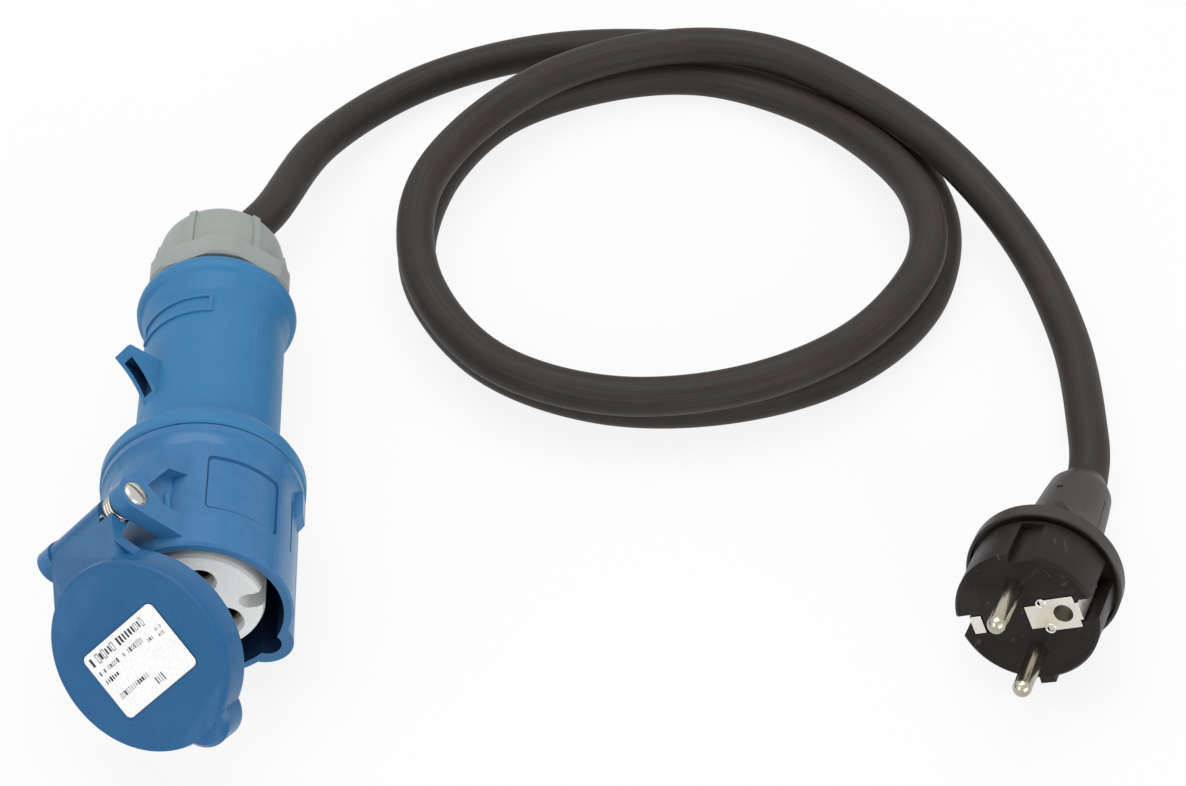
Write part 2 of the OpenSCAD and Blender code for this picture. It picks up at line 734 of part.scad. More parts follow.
module cable() {
    lead_in = [for (z = [sheath_end, nut_end + 16, nut_end + 6, nut_end + 1]) from_coupler([0, 0, z])];
    lead_out = [for (z = [grip_end - 4, grip_end + 2, grip_end + 12, plug_sheath_end]) from_plug([0, 0, z])];
    laid = [for (p = route) [p.x, p.y, layer_z(p.z)]];
    color([0.13, 0.13, 0.13]) rod(smooth(concat(lead_in, laid, lead_out), 3), cable_r, 12);
}

module plug_front() {
    color([0.14, 0.14, 0.14]) place_plug() difference() {
        union() {
            rotate_extrude() polygon([
                [0, 0], [face_r - 0.8, 0], [face_r, -0.8], [face_r, guard_z + 1],
                [face_r - 2, front_end], [0, front_end]
            ]);
            rotate([0, 0, -92]) translate([face_r - 1, -2, -4]) cube([2.2, 4, 4]);
        }
        for (y = [-1, 1]) translate([0, y * pin_pitch / 2, -pin_shank - 1])
            cylinder(r = shank_r + seat, h = pin_shank + 2);
        for (x = [-1, 1]) translate([x * face_r - clip_notch, -clip_w / 2 - 0.6, guard_z - 1])
            cube([2 * clip_notch, clip_w + 1.2, guard_back + 2]);
        translate([guide_shift - guide_w / 2, face_r - guide_depth, guard_z + 2])
            cube([guide_w, 10, guard_back]);
        translate([0, 0, strap_z - seat]) linear_extrude(5) strap_outline(0.3);
        translate([-face_r, -clip_w / 2 - 0.3, strap_z - seat])
            cube([clip_notch + clip_lip + 0.3, clip_w + 0.6, 5]);
        translate([earth_x, 0, -14]) cylinder(d = socket_bore + 2 * strap_t + 2 * seat, h = 20);
        strap_bridge(seat);
        at_plug_screw() translate([0, 0, front_end - 1]) cylinder(r = 1.4 + seat, h = 9);
        translate([0, 0, front_end - 1]) cylinder(r = plug_cavity_r, h = 3 - front_end - pin_shank);
    }
}

// Where the screw stands that holds the shell to the front
module at_plug_screw() {
    rotate([0, 0, plug_screw_angle]) translate([plug_screw_at, 0, 0]) children();
}

// The plate on the face that the earth socket opens through
module strap_outline(grow) {
    translate([0.6 - grow, -strap_w / 2 + 1.2 - grow]) square([6 + 2 * grow, strap_w - 2.4 + 2 * grow]);
    translate([5 - grow, -strap_w / 2 - grow]) square([face_r - clip_notch - 5 + 2 * grow, strap_w + 2 * grow]);
}

// The strip inside the plug that joins the clips on its two sides
module strap_bridge(grow) {
    half = face_r - clip_notch + 0.5 * strap_t;
    translate([-half - grow, -clip_w / 2 - grow, -clip_l - grow])
        cube([2 * half + 2 * grow, clip_w + 2 * grow, strap_t + 2 * grow]);
}

module plug_earth_strap() {
    inner = face_r - clip_notch + seat;
    color([0.80, 0.80, 0.78]) place_plug() difference() {
        union() {
            translate([0, 0, strap_z]) linear_extrude(strap_t) strap_outline(0);
            translate([earth_x, 0, -13]) cylinder(d = socket_bore + 2 * strap_t, h = 13 + strap_z);
            strap_bridge(0);
            for (side = [-1, 1]) translate([side * (inner + strap_t / 2) - strap_t / 2, -clip_w / 2, -clip_l])
                cube([strap_t, clip_w, clip_l + strap_z + strap_t]);
            translate([face_r - clip_notch - 1, -clip_w / 2, strap_z])
                cube([1 + seat + strap_t, clip_w, strap_t]);
            translate([-inner - strap_t, -clip_w / 2, strap_z]) cube([clip_lip + strap_t, clip_w, strap_t]);
        }
        translate([earth_x, 0, -12.2]) cylinder(d = socket_bore, h = 20);
    }
}

module plug_pin(side) {
    tip_r = pin_d / 2;
    color([0.82, 0.80, 0.74]) place_plug() translate([0, side * pin_pitch / 2, 0])
        rotate_extrude() polygon(concat(
        [[0, -pin_shank], [shank_r, -pin_shank], [shank_r, 0], [tip_r, 0], [tip_r, pin_l - tip_r]],
        [for (a = [10 : 10 : 80]) [tip_r * cos(a), pin_l - tip_r + tip_r * sin(a)]],
        [[0, pin_l]]));
}

module plug_live_pin() {
    plug_pin(1);
}

module plug_neutral_pin() {
    plug_pin(-1);
}

module plug_shell() {
    cup_r = face_r + 0.5;
    wide = grip_r;
    color([0.15, 0.15, 0.15]) place_plug() difference() {
        union() {
            rotate_extrude() polygon([
                [0, guard_z - 1.4], [cup_r, guard_z - 1.4], [guard_r - 0.9, guard_z], [guard_r - 0.4, guard_z],
                [guard_r, guard_z - 0.4], [guard_r, shell_z], [guard_r - 3, shell_z - 0.8],
                [wide + 1.4, shell_z - 2.4], [wide, shell_z - 5], [wide - 2, shell_z - 0.4 * grip_l],
                [waist_r + 0.6, shell_z - 0.72 * grip_l], [waist_r, grip_end + 6],
                [cable_r + 0.5, grip_end], [0, grip_end]
            ]);
        }
        translate([0, 0, front_end]) cylinder(r = face_r + seat, h = 30);
        translate([0, 0, front_end - 14]) cylinder(r1 = clamp_r + 0.4, r2 = plug_cavity_r - 2, h = 14.5);
        translate([0, 0, grip_end + 13]) cylinder(r = clamp_r + seat, h = 30);
        translate([0, 0, grip_end - 1]) cylinder(r = cable_r + clear, h = 60);
        at_plug_screw() {
            translate([0, 0, front_end - 10]) cylinder(r = 1.4 + seat, h = 12);
            translate([0, 0, front_end - 16]) cylinder(r = 4, h = 16 - screw_web);
        }
    }
}

module plug_screw() {
    color([0.70, 0.70, 0.68]) place_plug() at_plug_screw() difference() {
        union() {
            translate([0, 0, front_end - screw_web - 2]) cylinder(r = 2.6, h = 2);
            translate([0, 0, front_end - screw_web - 0.5]) cylinder(r = 1.4, h = screw_web + 5);
        }
        translate([-0.4, -4, front_end - screw_web - 3]) cube([0.8, 8, 1.8]);
    }
}

module plug_cord_clamp() {
    color([0.72, 0.72, 0.70]) place_plug() translate([0, 0, grip_end + 13]) difference() {
        cylinder(r = clamp_r, h = 7);
        translate([0, 0, -1]) cylinder(r = cable_r + seat, h = 9);
    }
}

// A core from the end of the sheath in the plug to its pin or to the strap
module plug_core(angle, to) {
    lay_at = core_d * 0.58;
    a = [lay_at * cos(angle), lay_at * sin(angle), plug_sheath_end + clear];
    path = [for (i = [0 : 6]) let (t = i / 6, ease = t * t * (3 - 2 * t))
        a + (to - a) * t + [(to.x - a.x) * (ease - t), (to.y - a.y) * (ease - t), 0]];
    rod(path, core_d / 2, 10, [1, 0.01, 0]);
}

module plug_live_core() {
    color([0.42, 0.24, 0.13]) place_plug() plug_core(90, [0, pin_pitch / 2, -pin_shank - clear]);
}

module plug_neutral_core() {
    color([0.12, 0.35, 0.66]) place_plug() plug_core(210, [0, -pin_pitch / 2, -pin_shank - clear]);
}

module plug_earth_core() {
    color([0.42, 0.62, 0.16]) place_plug() plug_core(330, [earth_x - 3, 0, -clip_l - clear]);
}

front_housing();
handle();
housing_seal();
contact_insert();
contact_holders();
live_contact();
neutral_contact();
earth_contact();
terminal_screws();
lid();
lid_gasket();
lid_label();
hinge_pin();
lid_spring();
gland_nut();
gland_clamp();
gland_seal();
live_core();
neutral_core();
earth_core();
cable();
plug_front();
plug_shell();
plug_screw();
plug_live_pin();
plug_neutral_pin();
plug_earth_strap();
plug_cord_clamp();
plug_live_core();
plug_neutral_core();
plug_earth_core();
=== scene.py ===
import math

import bmesh
import bpy
from mathutils import Matrix, Vector


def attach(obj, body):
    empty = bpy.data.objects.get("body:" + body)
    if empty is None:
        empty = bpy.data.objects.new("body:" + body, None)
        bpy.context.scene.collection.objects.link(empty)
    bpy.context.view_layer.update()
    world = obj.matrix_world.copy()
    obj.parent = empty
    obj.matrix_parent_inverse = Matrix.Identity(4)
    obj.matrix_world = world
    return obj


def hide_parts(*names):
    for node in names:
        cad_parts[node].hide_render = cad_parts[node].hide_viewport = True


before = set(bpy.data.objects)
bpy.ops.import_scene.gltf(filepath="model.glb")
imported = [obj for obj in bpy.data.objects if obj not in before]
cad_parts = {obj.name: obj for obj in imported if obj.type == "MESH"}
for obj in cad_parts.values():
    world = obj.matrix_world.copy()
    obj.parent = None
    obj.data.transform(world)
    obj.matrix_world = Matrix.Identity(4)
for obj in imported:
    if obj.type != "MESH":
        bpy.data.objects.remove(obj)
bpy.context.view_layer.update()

# Sizes of the coupler in millimetres, as in the part's source
MM = 0.001
MOUTH_AT = (5.55, -50.88)
ROLL = 47
MOUTH_R = 22.25
FRONT_WALL = 2.4
BARREL_R = MOUTH_R + FRONT_WALL
FRONT_L = 41
KEY_R = 3.6
KEY_AT = MOUTH_R - 0.85
KEY_TURN = 6
PANEL_FROM = -15.5
PANEL_TO = 33
PANEL_FRONT = 12.6
PANEL_L = 18.2
PANEL_DEPTH = 0.5
PANEL_CORNER = 1.4
FLANGE_R = 26.6
FLANGE_L = 4
HANDLE_L = 72.5
COLLAR_R = 22
COLLAR_LAND = 4
TUBE_R = 19
JOINT_Z = -FRONT_L
REAR_Z = JOINT_Z - HANDLE_L
NUT_GAP = 0.8
NUT_FOOT = 7.5
NUT_DOME = 18
NUT_END = REAR_Z - NUT_GAP - NUT_FOOT - NUT_DOME

# Sizes of the lid and its hinge
HINGE_RISE = 6.8
HINGE_Y = BARREL_R + HINGE_RISE
HINGE_Z = -8
HINGE_SHIFT = 0.7
HINGE_SPAN = 34.2
LUG_T = 4.4
KNUCKLE_GAP = 0.4
ARM_HALF = HINGE_SPAN / 2 - LUG_T - KNUCKLE_GAP
PIN_R = 2.5
LID_OPEN = 35
LID_FRONT = 8.4
LABEL_W = 27
LABEL_H = 18.6
LABEL_Y = -0.9
LABEL_T = 0.3
LABEL_CORNER = 1.6

# Sizes of the cable and the plug
CABLE_D = 11
CABLE_R = CABLE_D / 2
GUARD_R = 20.2
GUARD_Z = -17.2
GUARD_T = 4.2
SHELL_Z = GUARD_Z - GUARD_T
GRIP_L = 42
GRIP_END = SHELL_Z - GRIP_L
GRIP_R = 12.4
WAIST_R = CABLE_R + 3.2
STRAP_FACE = 0.2
PLUG_AT = (212.8, -58.9)
PLUG_TURN = -25.2
PLUG_TILT = 14
PLUG_ROLL = 30

# The cable's route: x, y and the layer it lies on
LAYER_GAP = 0.4
FLOOR_GAP = 0.1
ROUTE = [
    (18, 105, 1.05), (33, 142, 0.5), (62, 173, 0.05),
    (98, 187, 0), (136, 188, 0), (170, 180, 0), (197, 158, 0), (211, 128, 0), (215, 98, 0),
    (204, 67, 0), (178, 44, 0), (143, 34, 0), (108, 37, 0), (78, 55, 0),
    (61, 89, 0), (66, 125, 0), (86, 155, 0),
    (117, 170, 0), (149, 172, 0.02), (178, 157, 0.15), (198, 131, 0.55), (208, 103, 0.92),
    (205, 75, 1), (183, 47, 1), (150, 31, 1), (113, 29, 1), (81, 44, 1),
    (63, 75, 1), (62, 110, 1), (77, 139, 1),
    (104, 163, 1), (137, 174, 1), (168, 170, 1.05), (194, 150, 1.1), (218, 121, 1.02),
    (236, 87, 0.62), (244, 50, 0.38), (243, 14, 0.38),
]
LEAD_IN = (16, 6, 1)
LEAD_OUT = (-4, 2, 12)
PATH_STEPS = 12
CABLE_SIDES = 24

# A direction that the cable's start doesn't take; its girth is counted from there
GIRTH_FROM = Vector((0.12, 0.2, 0.97))


# Places of the coupler, the lid and the plug
def turned(angle, axis):
    return Matrix.Rotation(math.radians(angle), 4, axis)


def moved(x, y, z):
    return Matrix.Translation(Vector((x, y, z)) * MM)


def at(place, x, y, z):
    return place @ (Vector((x, y, z)) * MM)


def around(place, angle, r, z):
    """A point at an angle and a radius about the axis of a place."""
    a = math.radians(angle)
    return at(place, r * math.cos(a), r * math.sin(a), z)


def sin_of(angle):
    return math.sin(math.radians(angle))


def cos_of(angle):
    return math.cos(math.radians(angle))


# The coupler lies on its flange and its collar, and the plug on its collar
pitch = math.degrees(math.asin((FLANGE_R - COLLAR_R) / (HANDLE_L - FLANGE_L - COLLAR_LAND)))
mouth_h = FLANGE_R * cos_of(pitch) + (FRONT_L + FLANGE_L) * sin_of(pitch)
plug_h = GUARD_R * cos_of(PLUG_TILT) - SHELL_Z * sin_of(PLUG_TILT)
COUPLER = moved(*MOUTH_AT, mouth_h) @ turned(90 - pitch, "X") @ turned(ROLL, "Z")
HINGE = COUPLER @ moved(0, HINGE_Y, HINGE_Z)
LID = HINGE @ turned(-LID_OPEN, "X") @ moved(0, -HINGE_Y, -HINGE_Z)
PLUG = moved(*PLUG_AT, plug_h) @ turned(PLUG_TURN, "Z") @ turned(90 - PLUG_TILT, "X") @ turned(PLUG_ROLL, "Z")

# Camera at the photograph's viewing angle
CAMERA_AT = Vector((84.2, -474.7, 565.2)) * MM
LOOK_AT = Vector((109.4, 45.66, 0)) * MM
LENS = 82.9
SENSOR_W = 36

camera_data = bpy.data.cameras.new("camera")
camera_data.sensor_width = SENSOR_W
camera_data.sensor_fit = "HORIZONTAL"
camera_data.lens = LENS
camera_data.clip_start = 0.01
camera_data.clip_end = 50
camera = bpy.data.objects.new("camera", camera_data)
camera.location = CAMERA_AT
camera.rotation_euler = (LOOK_AT - CAMERA_AT).to_track_quat("-Z", "Y").to_euler()
bpy.context.scene.collection.objects.link(camera)
bpy.context.scene.camera = camera

# Angles between faces, in degrees: past these an edge shows, or is rounded off
SHARP_ANGLE = 38
ROD_SHARP_ANGLE = 60
GROWN_SHARP_ANGLE = 50
ROUNDED_ANGLE = 32

# What counts as one corner, and as one flat face, in a copy of a solid
SAME_CORNER = 0.002
FLAT_ANGLE = 0.6


# Meshes
def linked(name, mesh):
    piece = bpy.data.objects.new(name, mesh)
    bpy.context.scene.collection.objects.link(piece)
    return piece


def smooth_shaded(mesh, angle=SHARP_ANGLE):
    mesh.shade_smooth()
    mesh.set_sharp_from_angle(angle=math.radians(angle))


def from_bmesh(name, bm, angle=SHARP_ANGLE):
    mesh = bpy.data.meshes.new(name)
    bm.to_mesh(mesh)
    bm.free()
    smooth_shaded(mesh, angle)
    return linked(name, mesh)


def baked(piece):
    """The piece with its modifiers made part of its mesh."""
    graph = bpy.context.evaluated_depsgraph_get()
    mesh = bpy.data.meshes.new_from_object(piece.evaluated_get(graph))
    piece.modifiers.clear()
    old = piece.data
    piece.data = mesh
    bpy.data.meshes.remove(old)
    return piece


def applied(piece, angle=SHARP_ANGLE):
    smooth_shaded(baked(piece).data, angle)
    return piece


def rounded(piece, width, segments=3):
    """The piece with its edges rounded off, and with its large faces shaded flat up to them."""
    bevel = piece.modifiers.new("edges", "BEVEL")
    bevel.width = width * MM
    bevel.segments = segments
    bevel.limit_method = "ANGLE"
    bevel.angle_limit = math.radians(ROUNDED_ANGLE)
    bevel.miter_outer = "MITER_ARC"
    bevel.use_clamp_overlap = True
    applied(piece)
    weigh = piece.modifiers.new("large faces lead the shading", "WEIGHTED_NORMAL")
    weigh.keep_sharp = True
    return baked(piece)


def cut(piece, tool):
    """The piece with the tool's shape taken out of it."""
    boolean = piece.modifiers.new("cut", "BOOLEAN")
    boolean.operation = "DIFFERENCE"
    boolean.solver = "EXACT"
    boolean.object = tool
    applied(piece)
    bpy.data.objects.remove(tool)
    return piece


def copy_of(node, name):
    """A merged copy of a solid, with its flat faces whole again."""
    bm = bmesh.new()
    bm.from_mesh(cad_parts[node].data)
    bmesh.ops.remove_doubles(bm, verts=bm.verts, dist=SAME_CORNER * MM)
    bmesh.ops.dissolve_limit(bm, angle_limit=math.radians(FLAT_ANGLE), verts=bm.verts, edges=bm.edges)
    return from_bmesh(name, bm)


def lathe(name, place, profile, steps):
    """A closed turned shape from radius and height pairs that begin and end on the axis."""
    bm = bmesh.new()
    rings = []
    for r, z in profile:
        count = steps if r else 1
        rings.append([bm.verts.new(around(place, 360 * i / steps, r, z)) for i in range(count)])
    for low, high in zip(rings, rings[1:]):
        for i in range(steps):
            n = i + 1
            corners = [low[i % len(low)], low[n % len(low)], high[n % len(high)], high[i % len(high)]]
            bm.faces.new(list(dict.fromkeys(corners)))
    bmesh.ops.recalc_face_normals(bm, faces=bm.faces)
    return from_bmesh(name, bm)


def between(a, b, c, d, t):
    """The curve from b to c at the share t, with a before it and d after it."""
    return (2 * b + (c - a) * t + (2 * a - 5 * b + 4 * c - d) * t ** 2 + (3 * b - a - 3 * c + d) * t ** 3) / 2


def smooth_path(points, steps):
    last = len(points) - 1
    path = []
    for i in range(last):
        a, b, c, d = points[max(i - 1, 0)], points[i], points[i + 1], points[min(i + 2, last)]
        path += [between(a, b, c, d, j / steps) for j in range(steps)]
    return path + [points[last]]


def tube(name, path, radius, sides):
    """A round rod along a path, with a map that follows its length and its girth."""
    bm = bmesh.new()
    layer = bm.loops.layers.uv.new("along")
    last = len(path) - 1
    rings = []
    lengths = [0.0]
    side = (path[1] - path[0]).normalized().cross(GIRTH_FROM).normalized()
    for i, point in enumerate(path):
        ahead = (path[min(i + 1, last)] - path[max(i - 1, 0)]).normalized()
        side = (side - ahead * side.dot(ahead)).normalized()
        over = side.cross(ahead)
        if i:
            lengths.append(lengths[-1] + (point - path[i - 1]).length)
        ring = []
        for k in range(sides):
            a = 2 * math.pi * k / sides
            ring.append(bm.verts.new(point + radius * (side * math.cos(a) + over * math.sin(a))))
        rings.append(ring)
    for i in range(last):
        for k in range(sides):
            n = (k + 1) % sides
            face = bm.faces.new([rings[i][k], rings[i][n], rings[i + 1][n], rings[i + 1][k]])
            spots = [(i, k), (i, k + 1), (i + 1, k + 1), (i + 1, k)]
            for loop, (row, column) in zip(face.loops, spots):
                loop[layer].uv = (lengths[row], column / sides)
    bm.faces.new(list(reversed(rings[0])))
    bm.faces.new(rings[-1])
    bmesh.ops.recalc_face_normals(bm, faces=bm.faces)
    return from_bmesh(name, bm, ROD_SHARP_ANGLE)


def hinge_plate(name, outline, low, high):
    """A plate whose outline is drawn across the hinge, as y and z; it stands along the pin."""
    bm = bmesh.new()
    floor = [bm.verts.new(at(COUPLER, low, y, z)) for y, z in outline]
    roof = [bm.verts.new(at(COUPLER, high, y, z)) for y, z in outline]
    bm.faces.new(list(reversed(floor)))
    bm.faces.new(roof)
    count = len(outline)
    for i in range(count):
        n = (i + 1) % count
        bm.faces.new([floor[i], floor[n], roof[n], roof[i]])
    bmesh.ops.recalc_face_normals(bm, faces=bm.faces)
    return from_bmesh(name, bm)


# The cable comes first, because its spread is measured
def cable_points():
    lead_in = [at(COUPLER, 0, 0, NUT_END + z) for z in LEAD_IN]
    laid = [Vector((x, y, CABLE_R + FLOOR_GAP + layer * (CABLE_D + LAYER_GAP))) * MM for x, y, layer in ROUTE]
    lead_out = [at(PLUG, 0, 0, GRIP_END + z) for z in LEAD_OUT]
    return lead_in + laid + lead_out


cable_path = smooth_path(cable_points(), PATH_STEPS)
cable = tube("rubber_cable", cable_path, CABLE_R * MM, CABLE_SIDES)


# Node trees
class Nodes:
    """A short way to add and join the nodes of one tree."""

    def __init__(self, tree):
        self.tree = tree

    def add(self, kind, values=None, **settings):
        node = self.tree.nodes.new(kind)
        for key, value in settings.items():
            setattr(node, key, value)
        for socket, value in (values or {}).items():
            self.put(node.inputs[socket], value)
        return node

    def put(self, socket, value):
        if isinstance(value, bpy.types.NodeSocket):
            self.tree.links.new(value, socket)
        else:
            socket.default_value = value

    def first(self, kind, values=None, **settings):
        return self.add(kind, values, **settings).outputs[0]

    def math(self, operation, a, b, clamp=False):
        return self.first("ShaderNodeMath", {0: a, 1: b}, operation=operation, use_clamp=clamp)

    def noise(self, vector, scale, detail=2.0, rough=0.5):
        values = {"Vector": vector, "Scale": scale, "Detail": detail, "Roughness": rough}
        return self.add("ShaderNodeTexNoise", values).outputs["Fac"]

    def spread(self, value, low, high, to_low=0.0, to_high=1.0):
        return self.first("ShaderNodeMapRange", {0: value, 1: low, 2: high, 3: to_low, 4: to_high})

    def mixed(self, share, a, b):
        return self.add("ShaderNodeMix", {0: share, 6: a, 7: b}, data_type="RGBA").outputs[2]


# Geometry trees for beads, eyelets and rows of marks
FLOAT, WHOLE, FINISH_SOCKET = "NodeSocketFloat", "NodeSocketInt", "NodeSocketMaterial"
EYELET_STEPS = 24
EYELET_SIDES = 8
MARK_BOX_WIDTH = 1.1
MARK_STROKE = 0.26
MARK_WIDEST = 0.7
MARK_LOWEST = 0.62
MARK_SHARE_KEPT = 0.84


def geometry_tree(name, inputs):
    """An empty geometry tree with named inputs, a mesh coming in and a mesh going out."""
    tree = bpy.data.node_groups.new(name, "GeometryNodeTree")
    tree.interface.new_socket("Mesh", in_out="INPUT", socket_type="NodeSocketGeometry")
    for label, kind, start in inputs:
        socket = tree.interface.new_socket(label, in_out="INPUT", socket_type=kind)
        socket.default_value = start
    tree.interface.new_socket("Finish", in_out="INPUT", socket_type=FINISH_SOCKET)
    tree.interface.new_socket("Mesh", in_out="OUTPUT", socket_type="NodeSocketGeometry")
    n = Nodes(tree)
    return tree, n, n.add("NodeGroupInput").outputs, n.add("NodeGroupOutput").inputs


def finished(n, shape, given, out):
    """The end of every geometry tree: one plain mesh with one finish."""
    whole = n.first("GeometryNodeRealizeInstances", {"Geometry": shape})
    n.put(out["Mesh"], n.first("GeometryNodeSetMaterial", {"Geometry": whole, "Material": given["Finish"]}))


def circle(n, count, radius):
    return n.first("GeometryNodeCurvePrimitiveCircle", {"Resolution": count, "Radius": radius})


def rectangle(n, width, height):
    return n.first("GeometryNodeCurvePrimitiveQuadrilateral", {"Width": width, "Height": height})


def bead_tree():
    """A round bead or wire along a chain of edges."""
    tree, n, given, out = geometry_tree("bead_along_path", [("Radius", FLOAT, 0.001), ("Sides", WHOLE, 10)])
    line = n.first("GeometryNodeMeshToCurve", {"Mesh": given["Mesh"]})
    ring = circle(n, given["Sides"], given["Radius"])
    wire = n.first("GeometryNodeCurveToMesh", {"Curve": line, "Profile Curve": ring, "Fill Caps": True})
    finished(n, wire, given, out)
    return tree


def eyelet_tree():
    """A round eyelet on every point of the mesh that comes in."""
    tree, n, given, out = geometry_tree(
        "eyelets_on_points", [("Ring radius", FLOAT, 0.001), ("Wire radius", FLOAT, 0.0002)])
    path = circle(n, EYELET_STEPS, given["Ring radius"])
    wire = circle(n, EYELET_SIDES, given["Wire radius"])
    eyelet = n.first("GeometryNodeCurveToMesh", {"Curve": path, "Profile Curve": wire})
    copies = n.first("GeometryNodeInstanceOnPoints", {"Points": given["Mesh"], "Instance": eyelet})
    finished(n, copies, given, out)
    return tree


def marks_tree():
    """A row of printed bars and hollow boxes of uneven size, with gaps as between words."""
    tree, n, given, out = geometry_tree("row_of_marks", [
        ("Count", WHOLE, 5), ("Step", FLOAT, 0.002), ("Height", FLOAT, 0.001), ("Thickness", FLOAT, 0.0001),
        ("Shortest", FLOAT, 0.5), ("Seed", WHOLE, 1)])
    step, height, thickness, seed = given["Step"], given["Height"], given["Thickness"], given["Seed"]
    shift = n.first("ShaderNodeCombineXYZ", {"X": step})
    row = n.first("GeometryNodeMeshLine", {"Count": given["Count"], "Offset": shift})
    bar_size = n.first("ShaderNodeCombineXYZ", {"X": step, "Y": height, "Z": thickness})
    bar = n.first("GeometryNodeMeshCube", {"Size": bar_size})
    line = rectangle(n, n.math("MULTIPLY", step, MARK_BOX_WIDTH), height)
    stroke = rectangle(n, n.math("MULTIPLY", step, MARK_STROKE), thickness)
    box = n.first("GeometryNodeCurveToMesh", {"Curve": line, "Profile Curve": stroke})
    kinds = n.add("GeometryNodeGeometryToInstance")
    for shape in (bar, box):
        tree.links.new(shape, kinds.inputs[0])

    def drawn(kind, output, values):
        return n.add("FunctionNodeRandomValue", values, data_type=kind).outputs[output]

    kind = drawn("INT", 2, {4: 0, 5: 1, 8: seed})
    share = drawn("FLOAT", 1, {2: given["Shortest"], 3: MARK_WIDEST, 8: seed})
    tall = drawn("FLOAT", 1, {2: MARK_LOWEST, 3: 1.0, 8: n.math("ADD", seed, 1.0)})
    kept = drawn("BOOLEAN", 3, {6: MARK_SHARE_KEPT, 8: n.math("ADD", seed, 2.0)})
    stretch = n.first("ShaderNodeCombineXYZ", {"X": share, "Y": tall, "Z": 1.0})
    marks = n.first("GeometryNodeInstanceOnPoints", {
        "Points": row, "Selection": kept, "Instance": kinds.outputs[0], "Pick Instance": True,
        "Instance Index": kind, "Scale": stretch})
    finished(n, marks, given, out)
    return tree


BEAD = bead_tree()
EYELETS = eyelet_tree()
MARKS = marks_tree()


def points_mesh(name, points, chained, closed):
    """Points alone, or joined by edges to a chain that may be closed."""
    mesh = bpy.data.meshes.new(name)
    count = len(points)
    edges = [(i, i + 1) for i in range(count - 1)] if chained else []
    if closed:
        edges.append((count - 1, 0))
    mesh.from_pydata([tuple(p) for p in points], edges, [])
    return mesh


def grown(name, tree, points, finish, chained=True, closed=False, **values):
    """A piece that a geometry tree makes from a few points, as a plain mesh."""
    piece = linked(name, points_mesh(name, points, chained, closed))
    modifier = piece.modifiers.new("grown", "NODES")
    modifier.node_group = tree
    given = {label.replace("_", " "): value for label, value in values.items()}
    given["Finish"] = FINISH[finish]
    for socket in tree.interface.items_tree:
        if socket.in_out == "INPUT" and socket.name in given:
            modifier[socket.identifier] = given[socket.name]
    return applied(piece, GROWN_SHARP_ANGLE)


THIN_SIDES = 8
THICK_SIDES = 14


def bead(name, points, finish, radius, sides=THIN_SIDES, closed=False):
    return grown(name, BEAD, points, finish, closed=closed, Radius=radius * MM, Sides=sides)


def joined(name, pieces):
    """Several pieces of one body as one mesh."""
    bm = bmesh.new()
    for piece in pieces:
        bm.from_mesh(piece.data)
        bpy.data.objects.remove(piece)
    return from_bmesh(name, bm)


# Shared shader groups
KINDS = {"colour": "NodeSocketColor", "value": "NodeSocketFloat"}


def shader_group(name, inputs, outputs):
    tree = bpy.data.node_groups.new(name, "ShaderNodeTree")
    for label, kind, start in inputs:
        socket = tree.interface.new_socket(label, in_out="INPUT", socket_type=KINDS[kind])
        socket.default_value = start
    for label, kind in outputs:
        tree.interface.new_socket(label, in_out="OUTPUT", socket_type=KINDS[kind])
    n = Nodes(tree)
    return tree, n, n.add("NodeGroupInput").outputs, n.add("NodeGroupOutput").inputs


def moulded_skin_group():
    """Moulded plastic or rubber: a fine grain, soft patches of tone and a roughness that wanders."""
    tree, n, given, out = shader_group(
        "moulded_skin",
        [("Colour", "colour", (0.5, 0.5, 0.5, 1)), ("Second colour", "colour", (0.6, 0.6, 0.6, 1)),
         ("Grain size", "value", 2500), ("Patch size", "value", 60), ("Patch amount", "value", 0.5),
         ("Roughness", "value", 0.4), ("Roughness spread", "value", 0.1)],
        [("Colour", "colour"), ("Roughness", "value"), ("Height", "value")])
    where = n.add("ShaderNodeTexCoord").outputs["Object"]
    grain = n.noise(where, given["Grain size"], detail=3.0, rough=0.6)
    patches = n.noise(where, given["Patch size"], detail=4.0, rough=0.55)
    share = n.math("MULTIPLY", n.spread(patches, 0.32, 0.68), given["Patch amount"])
    tone = n.mixed(share, given["Colour"], given["Second colour"])
    fleck = n.spread(grain, 0.3, 0.75, to_low=0.9, to_high=1.08)
    about_zero = n.math("SUBTRACT", n.math("ADD", grain, patches), 1.0)
    swing = n.math("MULTIPLY", about_zero, given["Roughness spread"])
    n.put(out["Colour"], n.first("ShaderNodeHueSaturation", {"Color": tone, "Value": fleck}))
    n.put(out["Roughness"], n.math("ADD", given["Roughness"], swing, clamp=True))
    n.put(out["Height"], grain)
    return tree


def fine_scratches_group():
    """Thin scratches in two directions, as a mask."""
    tree, n, given, out = shader_group(
        "fine_scratches", [("Size", "value", 400), ("Amount", "value", 0.5)], [("Mask", "value")])
    where = n.add("ShaderNodeTexCoord").outputs["Object"]
    masks = []
    for angle, stretch in ((0.5, 0.05), (2.1, 0.08)):
        lay = n.first("ShaderNodeMapping", {
            "Vector": where, "Rotation": (0.3, angle, angle), "Scale": (1.0, stretch, 1.0)})
        streaks = n.noise(lay, given["Size"], detail=3.0, rough=0.7)
        masks.append(n.spread(streaks, 0.66, 0.74))
    both = n.math("MAXIMUM", *masks)
    n.put(out["Mask"], n.math("MULTIPLY", both, given["Amount"]))
    return tree


